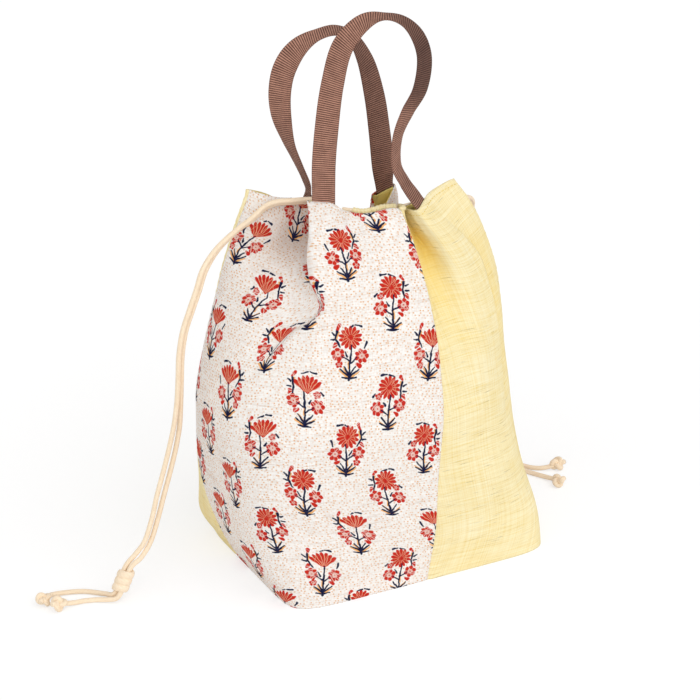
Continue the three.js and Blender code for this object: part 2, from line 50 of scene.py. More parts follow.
# turn of a camera or lamp that looks along a direction
def lookAlong(way):
    return math.atan2(math.hypot(way[0], way[1]), -way[2]), 0, math.atan2(way[1], way[0]) - math.pi / 2


# camera at the photograph's angle, image taken as 700 by 700
cameraSet = dict(place=(-767.6, -1591.3, 1127.0), target=(-58.66, -70.91, 235.0),
                 focalPixels=2289, imagePixels=700, sensor=36)


def makeCamera():
    data = bpy.data.cameras.new("camera")
    data.sensor_width = cameraSet["sensor"]
    data.sensor_fit = "HORIZONTAL"
    data.lens = cameraSet["sensor"] * cameraSet["focalPixels"] / cameraSet["imagePixels"]
    cam = bpy.data.objects.new("camera", data)
    bpy.context.collection.objects.link(cam)
    place = np.array(cameraSet["place"]) * mm
    cam.location = place
    cam.rotation_euler = lookAlong(np.array(cameraSet["target"]) * mm - place)
    bpy.context.scene.camera = cam


makeCamera()


# shader helper: a socket that takes part in Python expressions
class Sock:
    def __init__(self, tree, out):
        self.tree = tree
        self.out = out

    def math(self, op, *others, clamp=False):
        return addNode(self.tree, "ShaderNodeMath", dict(operation=op, use_clamp=clamp), [self, *others])

    # the same with the operands the other way round
    def mathBack(self, op, other):
        return addNode(self.tree, "ShaderNodeMath", dict(operation=op), [other, self])

    def __rsub__(self, other): return self.mathBack("SUBTRACT", other)
    def __rtruediv__(self, other): return self.mathBack("DIVIDE", other)

    # 0 where the value is below low, 1 above high, smooth between
    def step(self, low, high):
        settings = dict(interpolation_type="SMOOTHSTEP")
        return addNode(self.tree, "ShaderNodeMapRange", settings, {"Value": self, "From Min": low, "From Max": high})

    # another output of the same node
    def also(self, out):
        return Sock(self.tree, self.out.node.outputs[out])


# the other operators, each a Math node
for operator, op in dict(
        __add__="ADD", __radd__="ADD", __sub__="SUBTRACT", __mul__="MULTIPLY", __rmul__="MULTIPLY",
        __truediv__="DIVIDE", __abs__="ABSOLUTE", __lt__="LESS_THAN", __gt__="GREATER_THAN", min="MINIMUM",
        max="MAXIMUM", sin="SINE", cos="COSINE", floor="FLOOR", fract="FRACT", sqrt="SQRT").items():
    setattr(Sock, operator, lambda self, *other, op=op: self.math(op, *other))


# any node: its type, its settings first, then the values or links of its sockets
def addNode(tree, kind, settings=None, inputs=None, out=0):
    node = tree.nodes.new(kind)
    for key, value in (settings or {}).items():
        setattr(node, key, value)
    pairs = inputs.items() if isinstance(inputs, dict) else enumerate(inputs or [])
    for key, value in pairs:
        if isinstance(value, Sock):
            tree.links.new(value.out, node.inputs[key])
        else:
            node.inputs[key].default_value = value
    return Sock(tree, node.outputs[out])


# screen colour out of 255 to the shader's linear one
def linear(r, g, b):
    part = [c / 255 / 12.92 if c / 255 <= 0.04045 else ((c / 255 + 0.055) / 1.055) ** 2.4 for c in (r, g, b)]
    return (*part, 1)


# mix of two colours, each a socket, a linear colour with alpha, or red, green and blue out of 255
def mixColour(tree, share, first, second):
    first, second = (c if isinstance(c, Sock) or len(c) == 4 else linear(*c) for c in (first, second))
    settings = dict(data_type="RGBA", clamp_factor=True)
    return addNode(tree, "ShaderNodeMix", settings, {0: share, 6: first, 7: second}, out=2)


# a material with its Principled shader: constants straight on the sockets
def newMaterial(name, **constants):
    material = bpy.data.materials.new(name)
    material.use_nodes = True
    tree = material.node_tree
    shader = tree.nodes["Principled BSDF"]
    for key, value in constants.items():
        shader.inputs[key.replace("_", " ")].default_value = value
    return material, tree, shader


def plugIn(tree, shader, **sockets):
    for key, value in sockets.items():
        tree.links.new(value.out, shader.inputs[key.replace("_", " ")])


# meshes from whole arrays: grid of points, rows by columns, faces outwards
def gridFaces(rows, columns, roundRows=False, roundColumns=False):
    r = np.arange(rows if roundRows else rows - 1)[:, None]
    c = np.arange(columns if roundColumns else columns - 1)[None, :]
    r2 = (r + 1) % rows
    c2 = (c + 1) % columns
    at = lambda i, j: (i * columns + j + 0 * r + 0 * c).ravel()
    return np.stack([at(r, c), at(r, c2), at(r2, c2), at(r2, c)], axis=1)


# points in millimetres, faces as arrays of one size each; uv follows the cloth, fold is its share of painted shade
def meshPiece(name, points, faces, uv=None, smooth=True, fold=None):
    mesh = bpy.data.meshes.new(name)
    flat = np.asarray(points, dtype=float).reshape(-1, 3) * mm
    loops = np.concatenate([f.ravel() for f in faces]).astype(np.int32)
    sizes = np.concatenate([np.full(len(f), f.shape[1]) for f in faces]).astype(np.int32)
    starts = np.concatenate([[0], np.cumsum(sizes)[:-1]]).astype(np.int32)
    mesh.vertices.add(len(flat))
    mesh.vertices.foreach_set("co", flat.ravel())
    mesh.loops.add(len(loops))
    mesh.loops.foreach_set("vertex_index", loops)
    mesh.polygons.add(len(sizes))
    mesh.polygons.foreach_set("loop_start", starts)
    mesh.polygons.foreach_set("loop_total", sizes)
    mesh.polygons.foreach_set("use_smooth", np.full(len(sizes), smooth))
    if uv is not None:
        layer = mesh.uv_layers.new(name="cloth")
        layer.data.foreach_set("uv", (np.asarray(uv).reshape(-1, 2) * mm)[loops].ravel())
    if fold is not None:
        shade = mesh.attributes.new("fold", "FLOAT", "POINT")
        shade.data.foreach_set("value", np.asarray(fold, dtype=np.float32).ravel())
    mesh.update()
    mesh.validate()
    piece = bpy.data.objects.new(name, mesh)
    bpy.context.collection.objects.link(piece)
    return piece


# closed shell between an outer and an inner grid that match point for point
def shellPiece(name, outer, inner, uv, closedRound=False, fold=None):
    rows, columns = outer.shape[:2]
    size = rows * columns
    index = np.arange(size).reshape(rows, columns)
    face = gridFaces(rows, columns, roundColumns=closedRound)
    ring = index if not closedRound else np.concatenate([index, index[:, :1]], axis=1)
    strip = lambda a, b: np.stack([a[:-1], a[1:], b[1:], b[:-1]], axis=1)
    faces = [face, face[:, ::-1] + size, strip(ring[0] + size, ring[0]), strip(ring[-1], ring[-1] + size)]
    if not closedRound:
        faces += [strip(index[:, 0], index[:, 0] + size), strip(index[:, -1] + size, index[:, -1])]
    points = np.concatenate([outer.reshape(-1, 3), inner.reshape(-1, 3)])
    both = np.concatenate([uv.reshape(-1, 2), uv.reshape(-1, 2)])
    return meshPiece(name, points, faces, both, fold=None if fold is None else np.concatenate([fold, fold]))


# profile carried along a path: rings of points, with a flat cap at each end
def ringPiece(name, rings, uv, fold=None):
    rows, columns = rings.shape[:2]
    size = rows * columns
    centres = np.stack([rings[0].mean(axis=0), rings[-1].mean(axis=0)])
    c = np.arange(columns)
    n = (c + 1) % columns
    last = size - columns
    low = np.stack([n, c, np.full(columns, size)], axis=1)
    high = np.stack([c + last, n + last, np.full(columns, size + 1)], axis=1)
    points = np.concatenate([rings.reshape(-1, 3), centres])
    uv = np.concatenate([uv.reshape(-1, 2), uv[0, :1], uv[-1, :1]])
    if fold is not None:
        fold = np.concatenate([fold.ravel(), fold[0, :1], fold[-1, :1]])
    return meshPiece(name, points, [gridFaces(rows, columns, roundColumns=True), low, high], uv, fold=fold)


# vectors brought to length 1
def unit(v):
    return v / np.maximum(np.linalg.norm(v, axis=-1, keepdims=True), 1e-9)


# 0 to 1 with level ends
def ease(t):
    t = np.clip(t, 0, 1)
    return t * t * (3 - 2 * t)


# bell of a given half width
def bell(t, wide):
    return np.exp(-(t / wide) ** 2)


# two coordinates side by side, each spread over the whole grid
def pairUp(first, second):
    return np.stack(np.broadcast_arrays(first, second), axis=-1)


# length run along a grid's rows or columns
def runLength(points, axis):
    step = np.linalg.norm(np.diff(points, axis=axis), axis=-1)
    pad = [(0, 0), (0, 0)]
    pad[axis] = (1, 0)
    return np.cumsum(np.pad(step, pad), axis=axis)


# the same along one line of points
def lineRun(points):
    return runLength(points[:, None], 0)[:, 0]


# smooth curve through knots: Hermite pieces, each knot's slope weighted by its neighbours
def smoothThrough(knots, values, at):
    knots = np.asarray(knots, dtype=float)
    values = np.asarray(values, dtype=float).reshape(len(knots), -1)
    at = np.asarray(at, dtype=float)
    gap = np.diff(knots)[:, None]
    lean = np.diff(values, axis=0) / gap
    between = (lean[:-1] * gap[1:] + lean[1:] * gap[:-1]) / (gap[1:] + gap[:-1])
    slope = np.concatenate([lean[:1], between, lean[-1:]])
    i = np.searchsorted(knots[1:-1], at, side="left")
    span = gap[i]
    t = (at[..., None] - knots[i][..., None]) / span
    s = 1 - t
    return ((1 + 2 * t) * s * s * values[i] + t * s * s * span * slope[i]
            + t * t * (3 - 2 * t) * values[i + 1] - t * t * s * span * slope[i + 1])


# smooth line through route points, knots spaced by the root of each chord
def routeCurve(route, count):
    knots = np.concatenate([[0], np.cumsum(np.sqrt(np.linalg.norm(np.diff(route, axis=0), axis=1)))])
    at = np.linspace(0, knots[-1], count)
    fine = smoothThrough(knots, route, at)
    return knots, at, fine, lineRun(fine)


# points a given step apart along a smooth line through route points
def evenLine(route, step):
    route = np.asarray(route, dtype=float)
    fine, run = routeCurve(route, 40 * len(route))[2:]
    at = np.linspace(0, run[-1], int(round(run[-1] / step)) + 1)
    return np.stack([np.interp(at, run, fine[:, k]) for k in range(3)], axis=1), at


# two directions square to a line
def lineFrame(line, lean):
    ahead = unit(np.gradient(line, axis=0))
    aside = unit(np.cross(np.asarray(lean, dtype=float), ahead))
    return aside, np.cross(ahead, aside)


# even angles round a circle
def circleAngles(sides):
    return np.arange(sides) * fullTurn / sides


# circle carried along a line
def tubeRings(line, aside, over, radius, angle):
    return line[:, None] + radius * (np.cos(angle)[:, None] * aside[:, None] + np.sin(angle)[:, None] * over[:, None])


# bag shape in millimetres: the CAD part's sections, hem and pleats, with one point of the back hem
# moved along for the fold beside the back handle, so that the hem lies up to 16 mm off the CAD one there
bagSet = dict(
    height=328, collarStand=26, shoulder=0.45, evenRows=0.62, gatherPower=1.1,
    pleatFade=(0.60, 0.86), pleatRise=0.3, pleatFull=24, hemMiddle=(0, 25),
    # level, width, depth, squareness, x, y, left and front seam bearings, lag, skew
    sections=[
        (0.00, 254, 170, 9.0, -1, -6, 170, 271, 0, -0.085), (0.12, 272, 178, 5.0, -9.5, -3, 170, 279, 4, -0.095),
        (0.335, 272, 188, 3.2, -19, 2, 156, 290, 12, -0.02), (0.55, 272, 184, 2.7, -20, 6, 154, 295, 14, -0.03),
        (0.76, 276, 160, 2.5, -5, 12, 158, 290, 10, -0.09), (1.00, 216, 132, 2.2, 0, 22, 158, 285, 0, -0.05)],
    # hem from above: u, x, y, lift
    hem=[
        (0.00, -90, 65, 3), (0.12, -69, 57, -4), (0.25, -42, 52, -9), (0.36, -18, 44, -18), (0.44, -34, 36, -6),
        (0.50, -53, 28, 1), (0.57, -44, 19, 2), (0.65, -36, 12, 2), (0.72, -30, 1, -1), (0.80, -18, -9, -2),
        (0.93, 6, -13, 0), (1.00, 13, -17, 0), (1.25, 21, 3, -8), (1.50, 25, -24, -1), (1.75, 46, -7, 5),
        (2.00, 73, 3, 7), (2.12, 61, 15, -9), (2.25, 40, 25.5, -19), (2.36, 8, 29, -30), (2.44, 26, 39.5, -26),
        (2.52, 38, 44, -7), (2.62, 21, 53, -16), (2.75, 21.5, 57, -34), (2.90, -30, 64, -28), (3.00, -42, 69, -25),
        (3.25, -50, 58, -24), (3.50, -57, 79, -18), (3.75, -73, 77, -7)],
    pleats=[(0.12, 0.60), (1.00, 1.75), (2.12, 2.62), (3.00, 3.75)])

hemTable = np.array(bagSet["hem"], dtype=float)
hemTable[:, 3] += bagSet["height"]
hemLoop = np.concatenate([hemTable[-3:] - [4, 0, 0, 0], hemTable, hemTable[:3] + [4, 0, 0, 0]])
sectionTable = np.array(bagSet["sections"], dtype=float)


# point of the hem, u from 0 to 4 round the mouth
def hemPoint(u):
    return smoothThrough(hemLoop[:, 0], hemLoop[:, 1:], np.mod(u, 4))


# height of a row as a share of the bag's: even up to the shoulder, then closer towards the hem
def rowLevel(row):
    even = bagSet["evenRows"]
    low = bagSet["shoulder"]
    collar = np.clip((row - even) / (1 - even), 0, 1)
    return np.where(row < even, row * low / even, low + (1 - low) * (1 - np.sqrt(1 - collar)))


# how far a pleat is carried down the collar
def pleatCarry(level):
    low, high = bagSet["pleatFade"]
    return ease((level - low) / (high - low))


# departure of the hem from a straight line across each pleat
def pleatDepth(u):
    turn = np.mod(u, 4)
    depth = np.zeros(turn.shape + (3,))
    for start, end in bagSet["pleats"]:
        share = ((turn - start) / (end - start))[..., None]
        chord = hemPoint(np.array(start)) * (1 - share) + hemPoint(np.array(end)) * share
        inside = ((turn > start) & (turn < end))[..., None]
        depth = np.where(inside, hemPoint(turn) - chord, depth)
    return depth


# outer face of the bag: superellipse sections blended into the gathered hem,
# with the pleats carried down the collar
def bagSurface(u, row):
    u, row = np.broadcast_arrays(np.asarray(u, dtype=float), np.asarray(row, dtype=float))
    level = rowLevel(row)
    width, depth, square, x, y, left, front, lag, skew = np.moveaxis(
        smoothThrough(sectionTable[:, 0], sectionTable[:, 1:], level), -1, 0)
    turn = np.mod(u, 4)
    panel = np.minimum(np.floor(turn), 3).astype(int)
    seams = np.stack([left, front, left + 180 + lag, front + 180 - lag, left + 360])
    first = np.take_along_axis(seams, panel[None], axis=0)[0]
    last = np.take_along_axis(seams, panel[None] + 1, axis=0)[0]
    bearing = np.radians(first + (last - first) * (turn - panel))
    reach = (np.abs(np.cos(bearing) / (width / 2)) ** square
             + np.abs(np.sin(bearing) / (depth / 2)) ** square) ** (-1 / square)
    body = np.stack([x + reach * (np.cos(bearing) + skew * np.sin(bearing)), y + reach * np.sin(bearing),
                     level * bagSet["height"] - bagSet["collarStand"] * level ** 3], axis=-1)
    low = bagSet["shoulder"]
    gather = ease((level - low) / (1 - low)) ** bagSet["gatherPower"]
    carried = np.maximum(pleatCarry(level) - gather, 0)
    weight = np.stack([carried, carried, bagSet["pleatRise"] * carried], axis=-1)
    return body + (hemPoint(u) - body) * gather[..., None] + pleatDepth(u) * weight


# outward normals of a grid that has one spare line on every side
def gridNormals(points):
    across = points[1:-1, 2:] - points[1:-1, :-2]
    up = points[2:, 1:-1] - points[:-2, 1:-1]
    return unit(np.cross(across, up))


# how deep a place lies in a pleat: the hem's way inward from the pleat's chord, 0 to 1
def foldShare(u, row):
    depth = pleatDepth(u)
    outward = unit(hemPoint(u)[:, :2] - depth[:, :2] - bagSet["hemMiddle"])
    inward = np.clip(-(depth[:, :2] * outward).sum(axis=1) / bagSet["pleatFull"], 0, 1)
    return inward[None, :] * pleatCarry(rowLevel(row))[:, None]


# cloth: soft dents, gather ripples under the hem, and puckers along the seams
clothSet = dict(
    thick=0.9, dent=1.0, dentFade=25, footHold=40,
    ripple=0.3, rippleWave=13.0, rippleReach=45.0, rippleStart=6, rippleHigh=200, secondRipple=(0.6, 0.61, 1.3),
    seamDip=0.9, seamWide=2.2, pucker=0.28, puckerWave=8.5, puckerWide=9, hemFold=0.35, hemBand=7.0, hemWide=0.8,
    swellFade=12, swellSide=7,
    # long waves of the dents: x, y and z per millimetre, phase, height
    waves=[(0.043, 0.021, 0.031, 0.4, 1.0), (-0.028, 0.05, 0.038, 1.9, 0.9), (0.07, -0.033, 0.022, 4.1, 0.5),
           (0.025, 0.06, -0.07, 2.7, 0.45), (-0.09, 0.04, 0.05, 5.3, 0.3), (0.06, 0.08, 0.1, 0.9, 0.25)])


# dents: a sum of long waves through space, so that panels meet
def dents(points):
    waves = np.array(clothSet["waves"])
    phase = points @ waves[:, :3].T + waves[:, 3]
    return (np.cos(phase) * waves[:, 4]).sum(axis=-1) / 2


# tucks: a crease line up the cloth, with a dip on one side that starts sharply at the line and
# dies away, and a low lip on the other; hide is the cloth folded away inside, by height
tuckShape = dict(dip=1.35, lipWide=13, lipStart=4, hideOver=5)
tuckSet = dict(
    print_cloth_front=dict(
        up=(205, 225, 247, 262, 270.5, 278, 290, 302, 320, 342),
        across=(-88, -75, -60, -47, -27.5, -20.7, -24.8, -31, -33, -30),
        deep=(0, 2, 4, 5.5, 6.2, 6.2, 5, 3.6, 2.4, 0), side=-1, sharp=3.0, reach=18.0, lip=0.3,
        hide=((225, 262, 285, 330, 362), (0, 14, 32, 32, 16))),
    yellow_cloth_front=dict(
        up=(135, 168, 193, 227, 255, 286, 308, 335), across=(22, 25, 29, 28, 31, 34, 29, 20),
        deep=(0, 3.4, 6, 7.6, 7.6, 6, 3, 0), side=1, sharp=1.6, reach=21.0, lip=0.26, hide=((0, 1), (0, 0))))
# soft swellings: across, up, half widths both ways, height
swellSet = dict(
    yellow_cloth_back=[(58, 24, 34, 22, 4.2)],
    yellow_cloth_front=[(-8, 214, 30, 26, 3.2), (-30, 171, 34, 5, -0.9), (6, 262, 20, 34, 1.6), (-34, 262, 9, 40, -1.8),
                        (20, 312, 16, 14, 1.2), (-10, 90, 40, 30, 1.5), (48, 190, 15, 62, 4.6)],
    print_cloth_front=[(-6, 232, 36, 30, 2.2), (-84, 345, 22, 26, -7), (-27, 322, 12, 24, 5), (-62, 300, 18, 20, 1.6),
                       (-40, 180, 40, 26, 1.4), (20, 150, 40, 34, 1.2), (-20, 22, 70, 5, -0.5), (30, 24, 40, 4, -0.5),
                       (-100, 150, 22, 40, 1.5)])
# beside the front seam the yellow drops behind the print: start, run, room below the hem; depth, place, half width
seamDrop = dict(start=215, over=70, clear=16, dips=((2.2, 0, 5), (4.5, 11, 8)))
# painted shade, by panel: shade painted into the colour in the pleats, on the left ear behind the front fold, in the
# yellow beside the front seam and behind its crease, and painted warm light from the floor at the back's foot
shadeSet = dict(
    print_cloth_front=dict(pleats=0.25, ear=0.9, earPlace=(-88, 343), earSize=(26, 30)),
    yellow_cloth_front=dict(pleats=1.4, seam=0.3, seamWide=30, seamStart=190, seamOver=70, hemClear=6, hemOver=26,
                            crease=0.45),
    yellow_cloth_back=dict(foot=0.2, footHigh=70))


def tucks(name, cloth):
    s, t = cloth[..., 0], cloth[..., 1]
    depth = np.zeros_like(s)
    hidden = np.zeros_like(s)      # cloth folded away inside the tuck
    behind = np.zeros_like(s)      # how far a place lies behind the crease
    for x, y, wide, high, rise in swellSet.get(name, []):
        depth += rise * bell(s - x, wide) * bell(t - y, high)
    if name in tuckSet:
        k = tuckSet[name]
        shape = tuckShape
        place = np.clip(t, k["up"][0], k["up"][-1])
        edge = smoothThrough(k["up"], k["across"], place)[..., 0]
        lean = smoothThrough(k["up"], k["across"], np.minimum(place + 1, k["up"][-1]))[..., 0] - edge
        deep = np.maximum(smoothThrough(k["up"], k["deep"], place)[..., 0], 0)
        gap = (s - edge) * k["side"] / np.sqrt(1 + lean ** 2)
        far = np.maximum(gap, 0)
        inside = (1 - np.exp(-far / k["sharp"])) * np.exp(-far / k["reach"])
        lip = k["lip"] * bell(np.minimum(gap, 0), shape["lipWide"]) * ease(-gap / shape["lipStart"])
        depth += deep * (lip - shape["dip"] * inside)
        hidden = np.interp(t, *k["hide"]) * ease(gap / shape["hideOver"])
        behind = inside * deep / max(k["deep"])
    return depth, hidden, behind


# panel grid from u to u: points of the finished outer face, normals, cloth coordinates, bulge and painted shade
def panelGrid(name, start, end, columns, rows, middle):
    c = clothSet
    u = np.linspace(start, end, columns)
    step = (end - start) / (columns - 1) * 0.5
    row = np.linspace(0, 1, rows)
    wideU = np.concatenate([[u[0] - step], u, [u[-1] + step]])
    wideRow = np.concatenate([row[:1], row, row[-1:]])
    spare = bagSurface(wideU[None, :], wideRow[:, None])
    spare[0] = 2 * spare[1] - spare[2]
    spare[-1] = 2 * spare[-2] - spare[-3]
    face = spare[1:-1, 1:-1]
    out = gridNormals(spare)
    fromSeam = runLength(face, 1)
    middleColumn = int(np.argmin(np.abs(u - middle)))
    along = fromSeam - fromSeam[:, middleColumn:middleColumn + 1]
    climb = runLength(face, 0)
    below = climb[-1:] - climb
    footHold = ease(face[..., 2] / c["footHold"])
    bulge = c["dent"] * dents(face) * footHold * ease(below / c["dentFade"])
    fold = np.exp(-below / c["rippleReach"]) * ease(below / c["rippleStart"])
    wave = runLength(face[-1:], 1) * fullTurn / c["rippleWave"]
    second, pace, phase = c["secondRipple"]
    ripple = np.sin(wave) + second * np.sin(pace * wave + phase)
    bulge += c["ripple"] * fold * ripple * ease(face[..., 2] / c["rippleHigh"])
    side = np.minimum(fromSeam, runLength(face[:, ::-1], 1)[:, ::-1])
    nearSeam = bell(side, c["seamWide"])
    bulge -= c["seamDip"] * nearSeam
    pucker = np.sin(climb * fullTurn / c["puckerWave"]) * bell(side, c["puckerWide"])
    bulge += c["pucker"] * pucker * (1 - nearSeam)
    swell, hidden, behind = tucks(name, np.stack([along, climb], axis=-1))
    bulge += swell * footHold * ease(below / c["swellFade"]) * ease(side / c["swellSide"])
    if name == "yellow_cloth_front":
        drop = ease((climb - seamDrop["start"]) / seamDrop["over"]) * ease(below / seamDrop["clear"])
        bulge -= drop * sum(deep * bell(fromSeam - place, wide) for deep, place, wide in seamDrop["dips"])
    bulge -= c["hemFold"] * bell(below - c["hemBand"], c["hemWide"])
    k = shadeSet.get(name, {})
    # painted shade in the pleats, by how deep a place lies in one
    shade = foldShare(u, row)
    if name == "print_cloth_front":      # the left ear lies behind the front fold
        # painted shadow of the front fold on the left ear
        ear = bell(along - k["earPlace"][0], k["earSize"][0]) * bell(climb - k["earPlace"][1], k["earSize"][1])
        shade = shade * k["pleats"] + k["ear"] * ear
    if name == "yellow_cloth_front":
        # painted shade in the yellow beside the front seam and behind its crease, fading out under the hem
        besideSeam = bell(fromSeam, k["seamWide"]) * ease((climb - k["seamStart"]) / k["seamOver"])
        shade = (shade * k["pleats"] + k["seam"] * besideSeam) * ease((below - k["hemClear"]) / k["hemOver"])
        shade = shade + k["crease"] * behind
    if name == "yellow_cloth_back":      # warm light from the floor
        # painted warm light from the floor at the back's foot
        shade = shade + k["foot"] * bell(climb, k["footHigh"])
    cloth = np.stack([along - hidden, climb], axis=-1)
    return face + out * bulge[..., None], out, cloth, bulge, np.clip(shade, 0, 1)


def dressPiece(piece, material, body, nodes=()):
    piece.data.materials.append(material)
    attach(piece, body)
    if nodes:
        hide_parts(*nodes)
    return piece


# cloth coordinates of a piece, in millimetres: across and up
def clothPlace(tree):
    uv = addNode(tree, "ShaderNodeUVMap", dict(uv_map="cloth"))
    big = addNode(tree, "ShaderNodeVectorMath", dict(operation="SCALE"), {0: uv, "Scale": 1 / mm})
    across = addNode(tree, "ShaderNodeSeparateXYZ", None, [big])
    return across, across.also(1)


def vector(tree, x, y, z=0):
    return addNode(tree, "ShaderNodeCombineXYZ", None, [x, y, z])


def noise(tree, place, scale, detail=2.0, rough=0.5):
    sockets = {"Vector": place, "Scale": scale, "Detail": detail, "Roughness": rough}
    return addNode(tree, "ShaderNodeTexNoise", dict(noise_dimensions="3D"), sockets)


# plain weave: threads over and under, from two crossed sine waves
def weave(x, y, pitch):
    return (x * (fullTurn / pitch)).sin() * (y * (fullTurn / pitch)).sin()


def bumpFrom(tree, height, strength, distance):
    return addNode(tree, "ShaderNodeBump", None, {"Strength": strength, "Distance": distance, "Height": height})


# painted shade: the fold attribute, how much shade is painted into the colour at a place, in the panels' pleats and
# hollows and along the handles
def paintedShade(tree):
    return addNode(tree, "ShaderNodeAttribute", dict(attribute_name="fold"), None, out=2)


# slubs: thick places in the thread, noise drawn out along it and cut off high
def slubs(x, y, long, thin, low, high, seed):
    place = vector(x.tree, x / long, y / thin, seed)
    return noise(x.tree, place, 1.0, 1.0).step(low, high)


# a fixed number between 0 and 1 for each cell of a pattern
def cellLuck(column, line, one, two, large):
    return ((column * one + line * two).sin() * large).fract()


# lattice in millimetres of cloth, colours out of 255, and the strokes of a sprig:
# start, end, width, then the start and end in its second form
sprigSet = dict(
    column=36.5, row=83.0, first=1.0, foot=70.0, lean=0.22, leanFrom=-60.0, leanLeft=-0.15,
    wobble=2.2, wobbleScale=0.22, weavePitch=1.05, strokeThin=0.45, bloomPetal=(0.26, 0.78), fanPetal=(0.17, 0.84),
    dotAcross=3.9, dotUp=2.3, dotJitter=(0.7, 0.6), dotSize=(0.36, 0.95), dotClear=(0.5, 1.6), dotFaint=(0.05, 0.7),
    sprigLuck=(12.9898, 78.233, 43758.5453), dotLuck=(41.37, 17.91, 9157.31),
    inkEdge=(-0.3, 0.3), veinEdge=(-0.15, 0.3), navyEdge=(-0.1, 0.42),
    # the two heads: foot, radius, petals, spread; centre, radius, petals; then their veins and hearts
    fanHead=((-1.2, 3.4), 15.8, 7, 0.95), roseHead=((0, 11.4), 9.8, 14), headVein=(0.022, 0.22), headHeart=2.4,
    bloomVein=0.06, bloomDot=0.75,
    cream=(253, 251, 248), warm=(230, 219, 210), dot=(224, 174, 122), thread=(206, 182, 164),
    red=(196, 24, 16), coral=(204, 74, 44), tan=(238, 176, 106), navy=(14, 22, 58), shade=(150, 112, 88),
    redInShade=(132, 18, 14),
    # stem, branches, a fan of leaves at the foot and loose dashes about the head
    navyStrokes=(
        ((0.4, -24), (0.2, -7), 0.95), ((0.2, -8), (-1.4, 5), 0.8, (0.2, -8), (1.6, 5)),
        ((0.2, -10), (-6, -5.5), 0.65, (0.2, -12), (-6.5, -7.5)), ((0.2, -8.5), (7, -4), 0.65, (0.2, -8), (7, -4.5)),
        ((0.3, -21), (-8, -15), 0.9, (0.3, -22.5), (-7.5, -18.5)),
        ((0.3, -21), (8.3, -15.4), 0.9, (0.3, -22.5), (7.8, -18)),
        ((0.3, -20), (-4.8, -12.6), 0.8, (0.3, -21), (-6.2, -13.8)),
        ((0.3, -20), (5, -12.8), 0.8, (0.3, -21), (6.4, -14.2)),
        ((-0.4, -22.6), (-6.4, -21.4), 0.85, (-0.4, -24), (-5, -23.6)),
        ((1, -22.6), (6.8, -21.6), 0.85, (1, -24), (5.6, -23.4)),
        ((-9.6, 20.6), (-4.4, 21.8), 0.85, (-8, 21.6), (-3, 22.6)),
        ((-2.6, 21.4), (-0.2, 20), 0.7, (-1, 22), (4, 20.6)),
        ((11.4, 16.6), (12.4, 10), 1.0, (11.6, 16), (10.4, 8)),
        ((12.4, 10), (8.6, 3.4), 0.85, (10.4, 8), (11.4, 2.6)),
        ((13.6, 13.4), (15.8, 15.8), 0.8, (13, 12.6), (15.6, 14)),
        ((13.8, 9.4), (16.6, 9.6), 0.8, (12.8, 8.2), (15.8, 8.2)),
        ((-14.2, 7.6), (-12.4, 2.8), 0.9, (-14.6, 3.6), (-12.6, 6)),
        ((2.6, -4.2), (4.6, -0.4), 0.8, (-3, -4), (-5, -1.2))),
    # leaf shades printed a little out of place
    tanStrokes=(
        ((1.6, -21.8), (9.2, -16.4), 1.0, (1.4, -23.4), (8.6, -19)), ((-0.6, -22.4), (-8.4, -16.8), 0.95),
        ((1.2, -19.6), (5.8, -14), 0.95), ((10.2, 16), (11.2, 10.4), 0.95), ((1.2, -14), (1, -8), 0.95)),
    # buds on the branches, at the tip and at the side
    budStrokes=(
        ((-8.6, -12), (-5.6, -10.6), 1.9, (8.4, -11.4), (5.8, -10)),
        ((9.2, 22), (11.4, 17), 1.6, (9.4, 20.6), (12, 17.4)),
        ((12.6, 5.6), (14.4, 3.4), 1.8, (13.4, 4.6), (14.6, 2))),
    # round blooms: centre, radius, petals, centre in the second form, turn; then the heart's radius
    blooms=(
        (((-10, -4), 6.2, 7, (-10.2, -6.4)), 2.4), (((10.4, -2.6), 5.8, 6, (10.2, -3.4), 0.6), 2.2),
        (((9.4, -11.2), 3.3, 5, (-9.6, 3.6), 1.1), 1.1)))


